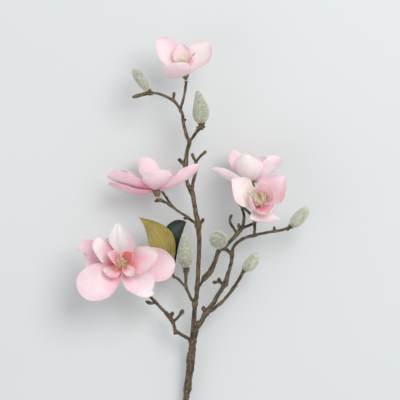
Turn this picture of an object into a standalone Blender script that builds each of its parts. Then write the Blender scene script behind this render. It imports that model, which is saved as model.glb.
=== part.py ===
# A magnolia branch laid on its back on a table: moulded twigs that plug into one
# another, five open flowers whose petals sit round a peg, six furry buds, two leaves.
# X runs across the branch, Y towards its top and Z up from the table.
# Lengths below are in millimetres and angles in degrees; the scene is in metres.

import math

import bmesh
import bpy
import numpy as np

MM = 0.001
GAP = 0.35                   # clearance left between two pieces that touch
PLACE = (8.5, 70.5, 0.0)   # moves the drawn branch so that its box stands on the origin

TWIG_STEP = 7.0              # spacing of the rings along a twig
TWIG_BEVEL = 2               # a tube has four sides and two more for each step of bevel
ROUND_BEVEL = 3
WELD = 1e-7
SHARPEST_SMOOTH = 50         # edges that bend more than this stay crisp

PETAL_THICKNESS = 0.7
LEAF_THICKNESS = 0.8
BLADE_ROWS = 9
BLADE_COLUMNS = 6
ROW_CROWDING = 1.35          # rows of a blade lie closer together towards its tip
FOOT_PULL = 0.38             # how far, by its span, a blade keeps its heading at the foot
TIP_PULL = 0.34
FOOT_WIDTH = 4.2             # width of a petal or a leaf where it starts
FOOT_SWELL = 1.1             # how slowly it widens there
NARROWEST_TIP = 0.5          # half width left at the very tip
ROUND_END = (2.0, 0.5)       # powers of a blade's outline past its widest place
POINTED_END = (1.7, 0.8)
STATIONS = [0.0, 0.25, 0.5, 0.7, 0.85, 0.95, 1.0]   # where left and right below are given

PEG_RADIUS = 2.1             # the peg that a flower's petals are threaded on
PEG_HEIGHT = 5.8
SEAT_RADIUS = 3.1            # where a petal's foot starts, from the flower's axis
CUP = [(-8.0, 1.7), (-5.5, 2.5), (-3.0, 3.9), (-0.9, 4.6), (-0.1, 4.4), (0.1, PEG_RADIUS)]
STAMENS = [(0.0, 1.9), (2.5, 2.2), (5.5, 3.4), (8.5, 3.6), (11.0, 2.6), (12.5, 0.8)]
BUD = [(0.0, 0.22), (0.05, 0.48), (0.16, 0.8), (0.3, 0.97), (0.45, 1.0), (0.6, 0.9),
       (0.75, 0.74), (0.88, 0.56), (0.96, 0.38), (1.0, 0.14)]

BROWN = (0.115, 0.07, 0.04)
PINK = (0.93, 0.5, 0.56)
PALE_PINK = (0.93, 0.72, 0.74)
CREAM = (0.86, 0.74, 0.38)
FELT = (0.5, 0.53, 0.45)
OLIVE = (0.36, 0.31, 0.09)
GREEN = (0.03, 0.09, 0.035)

# A route's rows are x, y, z and radius. Shoots are short spurs and knobs moulded in one
# with the twig. A twig starts on the axis of the one that it plugs into.
TWIGS = {
    "main_stem": {
        "route": [
            (-23.5, -319, 4.9, 4.9), (-19.5, -270, 8, 4.4), (-15.5, -221, 12.3, 3.3),
            (-14, -210, 13, 4.3), (-12.6, -199, 14.8, 4.0), (-11.3, -188, 16.7, 4.1),
            (-10.2, -176.5, 18.5, 4.9), (-9, -168, 19.8, 4.1), (-8.2, -158, 22, 3.7),
            (-7.8, -145, 25, 2.7), (-6.5, -128, 29, 2.4), (-5.4, -113, 33, 2.5),
            (-4, -107, 34.5, 2.6),
        ],
        "shoots": [
            [(-5.4, -115, 33, 1.5), (-6, -110, 36, 1.2), (-6.2, -108.5, 37.5, 0.8)],
        ],
    },
    "upper_stem": {
        "follows": "main_stem",
        "route": [
            (-4, -107, 34.5, 2.3), (-2.8, -92, 37.5, 2.4), (-1.6, -70, 41, 2.3),
            (-0.8, -48, 44, 2.3), (-2, -29, 46, 2.8), (-4.5, -15, 46, 2.5), (-7, 0, 45, 2.4),
            (-9, 9, 44, 2.5), (-14, 19, 43, 2.0), (-15.8, 37, 43.5, 2.2), (-14.5, 52, 46.5, 2.2),
            (-11.8, 63, 49, 2.0), (-14.5, 70, 50.5, 1.8), (-18, 84, 53, 1.7),
            (-19.2, 94, 54.5, 1.7), (-21.5, 99, 55, 1.6), (-18.6, 109, 55, 1.4),
            (-16.3, 120, 55, 1.3),
        ],
        "shoots": [
            [(-2, -30, 46, 1.7), (1, -25.5, 47, 1.5), (3.2, -21.8, 48, 1.6),
             (3.8, -20.6, 48.2, 0.9)],
            [(-15, 36.5, 43.7, 1.9), (-19.5, 41, 44.2, 1.8), (-23, 44.5, 44.8, 1.6)],
            [(-18.3, 87, 53, 1.4), (-15.8, 88.3, 54, 1.0)],
            [(-9, 9.5, 44, 1.9), (-7.8, 18.5, 43.3, 1.8), (-5.3, 28, 43, 1.7),
             (-3.8, 35, 43.2, 1.6), (-5, 42, 44, 1.6), (-7, 46.5, 45, 1.5),
             (-8.6, 50.3, 45.8, 1.4)],
            [(-4.6, 41.5, 44, 1.5), (0, 47.7, 44.8, 1.4), (6.2, 53.1, 45.8, 1.4)],
            [(-10.5, 12, 43.8, 1.4), (-12.8, 14.5, 46, 1.1)],
        ],
        "flower": "top_flower",
    },
    "lower_left_twig": {
        "plugs_into": "main_stem",
        "route": [
            (-7.9, -156, 22.4, 1.9), (-13.4, -153.4, 24, 1.8), (-24, -147.3, 26.5, 1.8),
            (-27.2, -145, 27.3, 2.0), (-28.3, -141, 28.3, 1.9), (-30.6, -133.9, 29.8, 1.9),
            (-35.4, -127.7, 31, 1.8), (-41.6, -121, 32, 1.7), (-53.1, -108.8, 34.5, 1.7),
            (-66, -94, 36, 1.6), (-77, -81, 38.5, 1.6),
        ],
        "shoots": [
            [(-26, -146.3, 27, 1.7), (-28.3, -148, 27.3, 1.3)],
            [(-30, -134.5, 29.7, 1.5), (-26, -131.5, 31, 1.4), (-22.5, -127.5, 32, 1.4),
             (-20.2, -124.3, 32.5, 2.0), (-19.3, -122.2, 32.7, 1.5)],
            [(-32.5, -131.2, 30.3, 1.5), (-31.2, -127.5, 32.2, 1.5),
             (-30.7, -125.2, 33.2, 1.8), (-30.6, -124, 33.6, 1.0)],
            [(-34.7, -128.5, 30.8, 1.5), (-34.3, -126.5, 33, 1.5), (-34.4, -125.8, 33.6, 0.9)],
            [(-37.2, -126, 31.2, 1.4), (-36.7, -124, 33, 1.1)],
            [(-49.5, -112.7, 33.6, 1.4), (-52, -114.3, 34.6, 1.2), (-55, -113.8, 35.5, 1.8),
             (-57.5, -112.8, 36, 1.7), (-59.6, -112, 36.3, 0.8)],
        ],
        "flower": "left_flower",
    },
    "left_bud_twig": {
        "plugs_into": "main_stem",
        "route": [
            (-5.4, -114, 33, 1.6), (-9.2, -110, 34.2, 1.6), (-12.2, -103.8, 35.3, 1.6),
            (-15.4, -96, 37, 1.7), (-15.6, -88, 38, 1.5), (-15.3, -80, 39.9, 1.7),
            (-15.3, -75.7, 41, 1.6),
        ],
        "shoots": [
            [(-15.3, -80, 39.8, 1.6), (-12.6, -77.2, 41, 1.1)],
            [(-15.3, -80, 39.8, 1.6), (-17.8, -78.2, 40.3, 1.0)],
            [(-15.6, -95.8, 37, 1.5), (-18.5, -93.2, 37, 1.4), (-22, -89.2, 37, 1.4),
             (-25.6, -86.1, 37, 1.5), (-29.8, -84, 37, 1.4), (-33.5, -77, 37, 1.2)],
            [(-28.8, -85, 37, 1.3), (-30.5, -79, 33.5, 1.1)],
        ],
    },
    "right_branch": {
        "plugs_into": "main_stem",
        "route": [
            (-7.9, -157, 22.4, 2.5), (-5, -150, 28.5, 2.5), (-4, -143, 31.5, 2.4),
            (-1, -138, 32, 2.6), (2, -133.5, 32, 2.6), (5, -128, 32, 2.6), (7.5, -124, 32, 2.6),
            (11, -119, 32.5, 2.6), (15.5, -113, 33, 2.4), (19, -106.5, 34, 2.3),
            (23.5, -99, 35, 2.3), (27.2, -93, 36, 2.7), (29.8, -86, 36.5, 2.5),
            (31.8, -78.5, 37.5, 2.1), (34.2, -70.3, 38.3, 2.0), (35.2, -62.9, 39.7, 2.0),
            (35.7, -57.4, 40.5, 2.2),
        ],
        "shoots": [
            [(-1, -138, 32, 1.8), (-2.4, -135.3, 34, 1.6), (-2.8, -134, 34.6, 1.0)],
            [(6.3, -126, 32, 1.7), (5.2, -122.8, 33.8, 1.5), (4.1, -120, 34.6, 2.1),
             (3.9, -118.2, 34.8, 1.3)],
            [(26.6, -94, 35.8, 1.7), (23.3, -91.8, 36.8, 1.5), (21, -89, 37.8, 2.1),
             (20.9, -86.5, 38, 1.2)],
            [(21.5, -90.2, 37.4, 1.2), (18.3, -90.5, 37.7, 1.5), (15.8, -90.8, 38, 1.8),
             (14.2, -91.2, 38, 0.8)],
            [(34.8, -60.3, 40, 1.6), (31.3, -57, 40.2, 1.5), (27.8, -54.4, 40, 1.4)],
        ],
    },
    "outer_right_twig": {
        "plugs_into": "right_branch",
        "route": [
            (7.3, -124.5, 32, 1.9), (12.5, -122.5, 32, 1.9), (18, -117.8, 32.5, 1.8),
            (24, -113, 34, 1.9), (31.5, -104.5, 35.5, 1.8), (38, -95.5, 37, 1.7),
            (44, -86, 39, 1.7), (48.3, -78.3, 40.5, 1.7),
        ],
        "shoots": [
            [(37, -97, 37, 1.3), (40.3, -94, 39, 1.0)],
        ],
    },
    "right_branch_top": {
        "plugs_into": "front_bud_twig",
        "route": [
            (26.5, -53.4, 50.7, 2.0), (28.8, -50.3, 49.6, 2.0), (32.5, -46.2, 47.5, 2.0),
            (36.5, -42.3, 45.3, 2.0), (40.9, -37.3, 43.3, 2.0), (44.7, -32.3, 42.3, 1.9),
            (47.3, -28, 42, 1.7), (48.5, -16.5, 42, 1.6), (46.5, -8, 42.5, 1.6), (50, 2, 43.5, 1.6),
            (55, 9, 44.3, 1.6),
        ],
        "shoots": [
            [(41, -37, 43.2, 1.6), (37.5, -31.8, 42, 1.5), (34, -26.5, 42, 1.5),
             (32.9, -21.5, 42, 1.4), (34.8, -16.8, 42, 1.1)],
            [(44.2, -33, 42.4, 1.5), (42.9, -28.5, 43.7, 1.6), (42.6, -26.5, 44.2, 1.0)],
            [(46, -31, 42.2, 1.7), (52, -28.9, 41.2, 1.5), (58, -26.4, 40.2, 1.2)],
        ],
        "flower": "back_flower",
    },
    "right_side_twig": {
        "follows": "right_branch",
        "route": [
            (35.7, -57.4, 40.5, 1.9), (36.5, -53.3, 40.9, 1.8), (40.3, -47.8, 41.5, 1.8),
            (46.4, -43.3, 42, 1.8), (53, -40.6, 42, 1.7), (59.8, -39, 42.3, 1.8),
            (65, -37.6, 42.5, 1.6), (78, -35, 43, 1.5), (90.5, -33, 43.5, 1.5),
            (99.3, -29.5, 44, 1.4),
        ],
        "shoots": [
            [(81.8, -34.6, 43.1, 1.3), (81.8, -31.5, 44, 1.3), (81.8, -29.8, 44.5, 1.0)],
        ],
    },
    "right_flower_twig": {
        "plugs_into": "right_side_twig",
        "route": [
            (59.8, -39, 42.3, 1.5), (60.2, -32, 43, 1.5), (60.2, -26, 45, 1.6),
            (61.5, -18, 47, 1.5), (64.3, -11.5, 49.5, 1.6),
        ],
        "shoots": [
            [(60.4, -25, 45.3, 1.6), (55.5, -15.5, 48.3, 1.5), (43, -4.5, 48.3, 1.2)],
        ],
        "flower": "right_flower",
    },
    "front_bud_twig": {
        "plugs_into": "upper_stem",
        "route": [
            (-3.1, -98.5, 36.2, 1.3), (0.5, -93.5, 39.3, 1.3), (2, -90.5, 40.5, 1.5),
            (3.5, -88, 41.3, 2.6), (6.5, -84.3, 42.6, 3.1), (11, -79, 44.4, 3.1),
            (14.8, -71.5, 46.6, 2.6), (17.8, -63.5, 48.5, 2.3), (20, -57.2, 49.9, 2.3),
            (22.4, -53.8, 50.6, 2.3), (26, -53.2, 50.8, 2.2), (29.3, -54.4, 50.3, 1.9),
            (32.5, -56.2, 49.5, 1.3),
        ],
        "shoots": [
            [(21.8, -54.5, 50.5, 1.8), (22.6, -51.2, 53, 1.7), (23.4, -48.2, 54.4, 1.6)],
        ],
    },
    "middle_flower_twig": {
        "plugs_into": "upper_stem",
        "route": [
            (-2.5, -27.3, 46.1, 1.6), (-6.5, -24.6, 46.1, 1.5), (-11, -21, 45.9, 1.5),
            (-16.5, -17, 45.5, 1.4), (-24.5, -12, 45, 1.4), (-31.8, -6.2, 44.3, 1.5),
            (-40, -1.7, 43.5, 1.5),
        ],
        "shoots": [
            [(-12.5, -19.6, 45.8, 1.3), (-16.5, -20.2, 44.5, 1.2), (-17.8, -20, 44.2, 0.8)],
            [(-31, -6.8, 44.5, 1.5), (-37, 2.5, 39, 1.4), (-41.5, 8.8, 34.5, 1.1)],
            [(-43, -0.4, 43.4, 1.3), (-49.3, -1.3, 43.5, 1.1)],
        ],
        "flower": "middle_flower",
    },
    "top_left_twig": {
        "plugs_into": "upper_stem",
        "route": [
            (-21.5, 99, 55, 1.5), (-25, 104.5, 55, 1.5), (-29, 108.9, 55, 1.6),
            (-37.2, 113.4, 54, 1.5), (-47, 116.9, 53, 1.4), (-55.5, 117.4, 52, 1.8),
            (-64.3, 115.4, 51.2, 2.1), (-71.5, 113.5, 50.5, 1.8), (-73.5, 113, 50.3, 1.2),
        ],
        "shoots": [
            [(-29.6, 109.3, 55, 1.4), (-28.7, 113.5, 55.5, 1.3), (-28.4, 117, 56, 1.3)],
            [(-55.2, 116.8, 52, 1.8), (-56, 119.5, 52.3, 2.2)],
        ],
    },
    "top_right_twig": {
        "plugs_into": "upper_stem",
        "route": [
            (-12, 63.6, 49.2, 1.6), (-9, 67.2, 50.6, 1.6), (-5.1, 72.8, 52.8, 1.7),
            (-0.6, 79, 55, 1.8), (1.3, 82.9, 55.6, 1.6),
        ],
        "shoots": [
            [(-0.4, 79, 55, 1.5), (3, 79.9, 55.4, 1.3), (5.2, 80.4, 55.4, 0.9)],
            [(-1.5, 77.5, 54.6, 1.3), (-3.2, 80.2, 55.8, 0.9)],
        ],
    },
}

# Each bud: base and tip, its greatest radius, and how far its middle bows aside.
BUDS = {
    "left_bud": {"base": (-15.4, -75.1, 41.3), "tip": (-17.5, -38, 46), "radius": 8.8,
                 "bow": (0.5, 0, 0)},
    "front_bud": {"base": (23.2, -47.2, 55.4), "tip": (15.5, -38, 80), "radius": 9.6,
                  "bow": (0, 0, 0)},
    "outer_right_bud": {"base": (48.6, -77.8, 40.7), "tip": (63, -59, 45), "radius": 6.8,
                        "bow": (0.8, -0.8, 0)},
    "side_bud": {"base": (99.9, -29, 44.1), "tip": (118, -9, 48), "radius": 6.9,
                 "bow": (0.5, -0.5, 0)},
    "top_left_bud": {"base": (-56.1, 120.1, 52.4), "tip": (-72.5, 143, 55), "radius": 6.2,
                     "bow": (0, 0.5, 0)},
    "top_right_bud": {"base": (1.5, 83.5, 55.7), "tip": (-2.5, 118.5, 59), "radius": 9.4,
                      "bow": (1.2, 0, 0)},
}

# Each leaf: base and tip of its midrib and its headings there, its width, the share of
# its length where that lies, how far its face turns, and the angle of its fold.
LEAVES = {
    "front_leaf": {
        "base": (-34, -76.2, 37.3), "tip": (-67.5, -19, 42), "start": (-0.05, 1, 0.15),
        "finish": (-0.9, 0.45, -0.15), "width": 29, "widest": 0.5, "turn": (0, 0), "fold": 24,
        "colour": OLIVE,
    },
    "back_leaf": {
        "base": (-30.9, -78.3, 32.6), "tip": (-15.5, -24.5, 31), "start": (-0.1, 1, 0.05),
        "finish": (0.95, 0.25, -0.1), "width": 25, "widest": 0.6, "turn": (0, 0), "fold": 30,
        "colour": GREEN,
    },
}

# Each flower: the seat is the middle of its cup's face and the axis points out of it. A
# petal's tip is measured from the seat. Rise and lean are the slopes of its midline at
# the foot and at the tip, above the plane across the axis. Ring is the foot's height on
# the peg, foot turns it about the axis, cup bends the petal across its width, twist
# turns its face at the foot and at the tip, and widest is where its width is greatest.
# Powers shape the outline past that place. Left and right widen or narrow one half of the
# petal at the stations, left being the clockwise half as seen against the axis.
FLOWERS = {
    "left_flower": {
        "seat": (-84.5, -72.5, 52), "axis": (-0.08, 0.3, 1),
        "petals": {
            "outer_petal_1": {"tip": (57.5, 1, 11), "width": 41, "rise": 8, "lean": 8,
                              "ring": 0.8, "cup": 35, "powers": (3.2, 0.5), "twist": (8, 12),
                              "foot": 6, "left": [1, 1, 1, 0.98, 0.95, 0.95, 1],
                              "right": [1, 1, 1, 0.95, 0.85, 0.8, 1]},
            "outer_petal_2": {"tip": (33, -27.5, 18), "width": 31, "rise": 24, "lean": -5,
                              "ring": 1.4, "cup": 35, "widest": 0.5, "powers": (3.6, 0.45),
                              "twist": (10, 10), "foot": -6,
                              "left": [1, 1.1, 1.12, 1.05, 0.98, 1, 1],
                              "right": [1, 1, 1, 1.05, 1.1, 1.08, 1]},
            "outer_petal_3": {"tip": (-46, -30.5, 13), "width": 42, "rise": 30, "lean": -10,
                              "ring": 1.5, "cup": 30, "widest": 0.58, "powers": (2.3, 0.5),
                              "twist": (-12, -12), "foot": 8,
                              "left": [1, 1, 1, 1.02, 1.05, 1, 1],
                              "right": [1, 1, 1.02, 1, 0.95, 0.95, 1]},
            "outer_petal_4": {"tip": (-45, 15.5, 6), "width": 34, "rise": 8, "lean": 0,
                              "ring": 0.8, "cup": 26, "powers": (3.6, 0.45), "twist": (-6, -12),
                              "foot": -8, "left": [1, 1, 1, 1, 1, 1.05, 1],
                              "right": [1, 1.25, 1.45, 1.5, 1.4, 1.2, 1]},
            "middle_petal_1": {"tip": (39, 12, 26), "width": 29, "rise": 34, "lean": 20,
                               "ring": 2.9, "cup": 38, "powers": (2.6, 0.5),
                               "left": [1, 1.2, 1.35, 1.25, 1.05, 1, 1],
                               "right": [1, 1.05, 1.05, 1, 1, 1, 1]},
            "middle_petal_2": {"tip": (-4.7, 49, 33), "width": 34, "rise": 45, "lean": 20,
                               "ring": 3.4, "cup": 42, "widest": 0.5, "powers": (1.4, 0.9),
                               "twist": (0, 5), "left": [1, 1, 1.08, 1.1, 1.05, 1, 1],
                               "right": [1, 0.5, 0.62, 0.98, 1.08, 1, 1]},
            "middle_petal_3": {"tip": (-22.5, 30.5, 24), "width": 33, "rise": 26, "lean": 19,
                               "ring": 2.2, "cup": 22, "powers": (4.5, 0.36), "twist": (0, 5),
                               "left": [1, 1, 1, 1.05, 1.1, 1.1, 1],
                               "right": [1, 1, 1.05, 1.05, 1.05, 1.05, 1]},
            "inner_petal_1": {"tip": (10.5, 15, 28), "width": 15, "rise": 66, "lean": 60,
                              "ring": 4.9, "cup": 45, "powers": (4, 0.4), "twist": (14, 14)},
            "inner_petal_2": {"tip": (-16, 14.5, 28), "width": 18, "rise": 62, "lean": 45,
                              "ring": 4.9, "cup": 60, "twist": (14, 14), "foot": 3},
            "inner_petal_3": {"tip": (-16, -10, 20), "width": 22, "rise": 38, "lean": 118,
                              "ring": 4.9, "cup": 45, "twist": (14, 14), "foot": 4},
            "inner_petal_4": {"tip": (13.5, -8, 25), "width": 13, "rise": 62, "lean": 70,
                              "ring": 4.9, "cup": 50, "twist": (14, 14), "foot": -16},
        },
    },
    "middle_flower": {
        "seat": (-47.5, 10, 44), "axis": (-0.1, 1, -0.1),
        "petals": {
            "outer_petal_1": {"tip": (4, 22.5, 29), "width": 36, "rise": 2, "lean": 75,
                              "ring": 0.9, "cup": 52, "widest": 0.5, "powers": (3.4, 0.45),
                              "foot": -18, "left": [1, 1.1, 1.05, 1, 0.95, 0.95, 1]},
            "outer_petal_2": {"tip": (-54, 7, -9), "width": 32, "rise": -26, "lean": 32,
                              "ring": 0.9, "cup": 45, "powers": (2.2, 0.6), "twist": (3, 4)},
            "outer_petal_3": {"tip": (11, 25, -43.5), "width": 34, "rise": 15, "lean": 45,
                              "ring": 0.9, "cup": 50},
            "outer_petal_4": {"tip": (47, 29, 21), "width": 25, "rise": 0, "lean": 45,
                              "ring": 0.9, "cup": 75, "powers": (2.0, 0.62), "twist": (-5, -30),
                              "foot": 8, "right": [1, 0.5, 0.62, 0.85, 1, 1, 1]},
            "middle_petal_1": {"tip": (-54, 16.5, 8), "width": 32, "rise": 2, "lean": 25,
                               "ring": 2.3, "cup": 42, "powers": (2.6, 0.5), "twist": (8, 24),
                               "left": [1, 0.9, 0.85, 0.85, 0.9, 0.95, 1],
                               "right": [1, 1.05, 1, 0.92, 0.88, 0.9, 1]},
            "middle_petal_2": {"tip": (-41.5, 23, -30), "width": 15, "rise": 25, "lean": 20,
                               "ring": 3.4, "cup": 50, "powers": (1.7, 0.8)},
            "inner_petal_1": {"tip": (-16, 37, -17), "width": 35, "rise": 42, "lean": 65,
                              "ring": 4.9, "cup": 45, "left": [1, 1, 0.95, 0.88, 0.85, 0.9, 1],
                              "right": [1, 1.35, 1.25, 1.08, 0.98, 0.95, 1]},
        },
    },
    "top_flower": {
        "seat": (-16.5, 138, 60), "axis": (-0.15, 0.75, 0.6),
        "petals": {
            "outer_petal_1": {"tip": (-9, 10, 31), "width": 33, "rise": -15, "lean": 95,
                              "ring": 0.9, "cup": 24, "widest": 0.5, "powers": (3.2, 0.45),
                              "twist": (30, 14), "foot": -25, "left": [1, 1.05, 1, 1, 1, 1, 1],
                              "right": [1, 1, 0.96, 0.96, 0.98, 1, 1]},
            "outer_petal_2": {"tip": (-29.5, 38, -2), "width": 30, "rise": 26, "lean": 35,
                              "ring": 0.9, "cup": 45, "powers": (1.9, 0.62), "twist": (-8, -16)},
            "outer_petal_3": {"tip": (27, 33.5, 4), "width": 32, "rise": 15, "lean": 38,
                              "ring": 0.9, "cup": 42, "powers": (2.0, 0.58), "twist": (10, 20),
                              "left": [1, 0.85, 1.05, 1.2, 1.2, 1.1, 1],
                              "right": [1, 1, 1.05, 1.05, 1.02, 1, 1]},
            "inner_petal_1": {"tip": (-4, 33, 6), "width": 23, "rise": 55, "lean": 50,
                              "ring": 2.4, "cup": 45, "powers": (1.7, 0.8)},
            "inner_petal_2": {"tip": (12, 20.5, 18.5), "width": 15, "rise": 55, "lean": 75,
                              "ring": 3.8, "cup": 60, "foot": -20},
        },
    },
    "back_flower": {
        "seat": (58, 20.5, 45), "axis": (-0.05, 1, 0.05),
        "petals": {
            "outer_petal_1": {"tip": (-46.5, 13.5, 2), "width": 27, "rise": -28, "lean": 28,
                              "ring": 0.9, "cup": 50, "powers": (1.8, 0.7), "twist": (14, 30),
                              "left": [1, 0.9, 0.85, 0.85, 0.9, 1, 1],
                              "right": [1, 1.1, 1, 0.9, 0.9, 1, 1]},
            "outer_petal_2": {"tip": (-9.5, 29, 25), "width": 38, "rise": 2, "lean": 80,
                              "ring": 0.9, "cup": 52, "powers": (2.2, 0.6),
                              "left": [1.2, 1.15, 1.05, 1, 0.92, 0.8, 1],
                              "right": [1.2, 1.15, 1.05, 0.96, 0.8, 0.7, 1]},
            "outer_petal_3": {"tip": (31, 25, 4), "width": 34, "rise": 0, "lean": 40,
                              "ring": 0.9, "cup": 50, "powers": (2.4, 0.52), "twist": (-18, -40),
                              "left": [1, 1.1, 1.05, 0.98, 0.9, 0.9, 1],
                              "right": [1, 0.95, 1, 1.15, 1.3, 1.3, 1.1]},
            "outer_petal_4": {"tip": (6, 27, -44.5), "width": 34, "rise": 15, "lean": 45,
                              "ring": 0.9, "cup": 50},
            "inner_petal_1": {"tip": (-22, 35.5, -18), "width": 32, "rise": 20, "lean": 78,
                              "ring": 2.8, "cup": 35, "powers": (1.8, 0.6),
                              "left": [1, 1, 0.95, 0.85, 0.8, 0.85, 1],
                              "right": [1, 1.3, 1.25, 1.12, 0.98, 0.9, 1]},
        },
    },
    "right_flower": {
        "seat": (66, -5.5, 60), "axis": (0.05, 0.3, 0.95),
        "petals": {
            "outer_petal_1": {"tip": (-31.8, 28, 16), "width": 32, "rise": 20, "lean": 5,
                              "ring": 0.9, "cup": 34, "widest": 0.62, "powers": (1.35, 0.85),
                              "foot": 14, "left": [1, 0.85, 0.85, 0.95, 1, 1, 1],
                              "right": [1, 1.2, 1.22, 1.12, 1, 1, 1]},
            "outer_petal_2": {"tip": (25.8, 30.8, 14), "width": 37, "rise": 20, "lean": 5,
                              "ring": 0.9, "cup": 38, "widest": 0.55, "powers": (1.5, 0.8)},
            "outer_petal_3": {"tip": (-1, -17, 20), "width": 32, "rise": 8, "lean": 122,
                              "ring": 0.9, "cup": 28, "powers": (5, 0.35),
                              "left": [1, 0.85, 0.72, 0.7, 0.7, 0.7, 0.8],
                              "right": [1, 1.15, 1.3, 1.35, 1.35, 1.35, 1.2]},
            "inner_petal_1": {"tip": (7, 22, 24), "width": 27, "rise": 45, "lean": 35,
                              "ring": 2.4, "cup": 55, "powers": (2.6, 0.5)},
            "inner_petal_2": {"tip": (-9.5, 4.5, 26), "width": 22, "rise": 8, "lean": 138,
                              "ring": 3.6, "cup": 45},
            "inner_petal_3": {"tip": (9, -9, 22), "width": 28, "rise": 12, "lean": 95,
                              "ring": 3.6, "cup": 70},
        },
    },
}


def unit(v):
    v = np.asarray(v, float)
    return v / np.linalg.norm(v)


def seat_and_axis(flower):
    return np.array(FLOWERS[flower]["seat"], float), unit(FLOWERS[flower]["axis"])


# A smooth curve through the route's own rows: a Catmull-Rom spline read at even steps.
def smooth_route(rows, step):
    rows = np.array(rows, float)
    ends = np.vstack([2 * rows[0] - rows[1], rows, 2 * rows[-1] - rows[-2]])
    read = []
    for a, b, c, d in zip(ends, ends[1:], ends[2:], ends[3:]):
        count = max(1, round(np.linalg.norm(c[:3] - b[:3]) / step))
        t = np.arange(count)[:, None] / count
        read.append(0.5 * (2 * b + (c - a) * t + (2 * a - 5 * b + 4 * c - d) * t ** 2
                           + (3 * b - a - 3 * c + d) * t ** 3))
    return np.vstack(read + [rows[-1:]])


# The rows of a twig, ending in the flower's cup and peg where it carries a flower.
def twig_rows(name):
    spec = TWIGS[name]
    route = [tuple(row) for row in spec["route"]]
    if "flower" not in spec:
        return smooth_route(route, TWIG_STEP)
    seat, axis = seat_and_axis(spec["flower"])
    cup = [(*(seat + axis * along), radius) for along, radius in CUP]
    peg = (*(seat + axis * PEG_HEIGHT), PEG_RADIUS)
    return np.vstack([smooth_route(route + cup[:1], TWIG_STEP), cup[1:], [peg]])


# A blade's half width from 0 at its foot to 1 at its tip, as a share of the greatest:
# a sine up to the widest place and (1 - u ^ first power) ^ second power past it.
def blade_outline(t, widest, claw, powers):
    swell = np.sin(0.5 * np.pi * np.clip(t / widest, 0, 1)) ** FOOT_SWELL
    past = np.clip((t - widest) / (1 - widest), 0, 1)
    return np.where(t < widest, claw + (1 - claw) * swell, (1 - past ** powers[0]) ** powers[1])


# Points of a blade on a grid of rows along it and columns across it. Its midline is a
# cubic curve from foot to tip. Across it, at a share s of the half width, the surface
# has turned by cup * s, so it is the arc (sin(cup s), 1 - cos(cup s)) / cup.
def blade_points(foot, start, tip, finish, across, blade, rows, columns):
    span = np.linalg.norm(tip - foot)
    handles = np.array([foot, foot + start * span * FOOT_PULL, tip - finish * span * TIP_PULL, tip])
    t = 1 - (1 - np.linspace(0, 1, rows)) ** ROW_CROWDING
    middle = np.array([(1 - t) ** 3, 3 * t * (1 - t) ** 2, 3 * t ** 2 * (1 - t), t ** 3]).T @ handles
    along = np.array([(1 - t) ** 2, 2 * t * (1 - t), t ** 2]).T @ np.diff(handles, axis=0)
    along /= np.linalg.norm(along, axis=1, keepdims=True)

    side = across[0] * (1 - t[:, None]) + across[1] * t[:, None]
    side -= along * (side * along).sum(axis=1, keepdims=True)
    side /= np.linalg.norm(side, axis=1, keepdims=True)
    face = np.cross(along, side)
    first, last = blade.get("twist", (0, 0))
    turn = np.radians(first + (last - first) * t)[:, None]
    side, face = (side * np.cos(turn) + face * np.sin(turn),
                  face * np.cos(turn) - side * np.sin(turn))

    share = blade_outline(t, blade.get("widest", 0.6), FOOT_WIDTH / blade["width"],
                          blade.get("powers", ROUND_END))
    half = np.maximum(blade["width"] / 2 * share, NARROWEST_TIP)
    across_share = np.linspace(-1, 1, columns)
    left, right = (np.interp(t, STATIONS, blade.get(key, [1] * 7)) for key in ("left", "right"))
    half = (half[:, None] * np.where(across_share[None] < 0, left[:, None],
                                     right[:, None]))[..., None]
    cup = math.radians(blade["cup"])
    turned = cup * across_share[None, :, None]
    return (middle[:, None] + side[:, None] * half * np.sin(turned) / cup
            + face[:, None] * half * (1 - np.cos(turned)) / cup)


def petal_points(flower, petal, rows=BLADE_ROWS, columns=BLADE_COLUMNS):
    seat, axis = seat_and_axis(flower)
    blade = FLOWERS[flower]["petals"][petal]
    reach = np.array(blade["tip"], float)
    out = unit(reach - axis * (reach @ axis))
    turn = math.radians(blade.get("foot", 0))
    foot_out = out * math.cos(turn) + np.cross(axis, out) * math.sin(turn)
    rise, lean = math.radians(blade["rise"]), math.radians(blade["lean"])
    foot = seat + foot_out * SEAT_RADIUS + axis * blade["ring"]
    start = foot_out * math.cos(rise) + axis * math.sin(rise)
    finish = out * math.cos(lean) + axis * math.sin(lean)
    across = [np.cross(axis, foot_out), np.cross(axis, out)]
    return blade_points(foot, start, seat + reach, finish, across, blade, rows, columns)


def leaf_points(name, rows=BLADE_ROWS, columns=BLADE_COLUMNS):
    leaf = LEAVES[name]
    foot, tip = np.array(leaf["base"], float), np.array(leaf["tip"], float)
    start, finish = unit(leaf["start"]), unit(leaf["finish"])
    across = [np.cross((0, 0, 1), start), np.cross((0, 0, 1), finish)]
    blade = {"width": leaf["width"], "widest": leaf["widest"], "powers": POINTED_END,
             "twist": leaf["turn"], "cup": leaf["fold"]}
    return blade_points(foot, start, tip, finish, across, blade, rows, columns)


def clear_scene():
    for thing in list(bpy.data.objects):
        bpy.data.objects.remove(thing, do_unlink=True)


def material(name, colour, roughness):
    made = bpy.data.materials.new(name)
    made.use_nodes = True
    shader = made.node_tree.nodes["Principled BSDF"]
    shader.inputs["Base Color"].default_value = (*colour, 1)
    shader.inputs["Roughness"].default_value = roughness
    return made


def finish_object(thing, colour, roughness):
    thing.data.materials.clear()
    thing.data.materials.append(material(thing.name + "_finish", colour, roughness))
    thing.data.shade_smooth()
    thing.data.set_sharp_from_angle(angle=math.radians(SHARPEST_SMOOTH))
    thing.location = [along * MM for along in PLACE]


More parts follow.
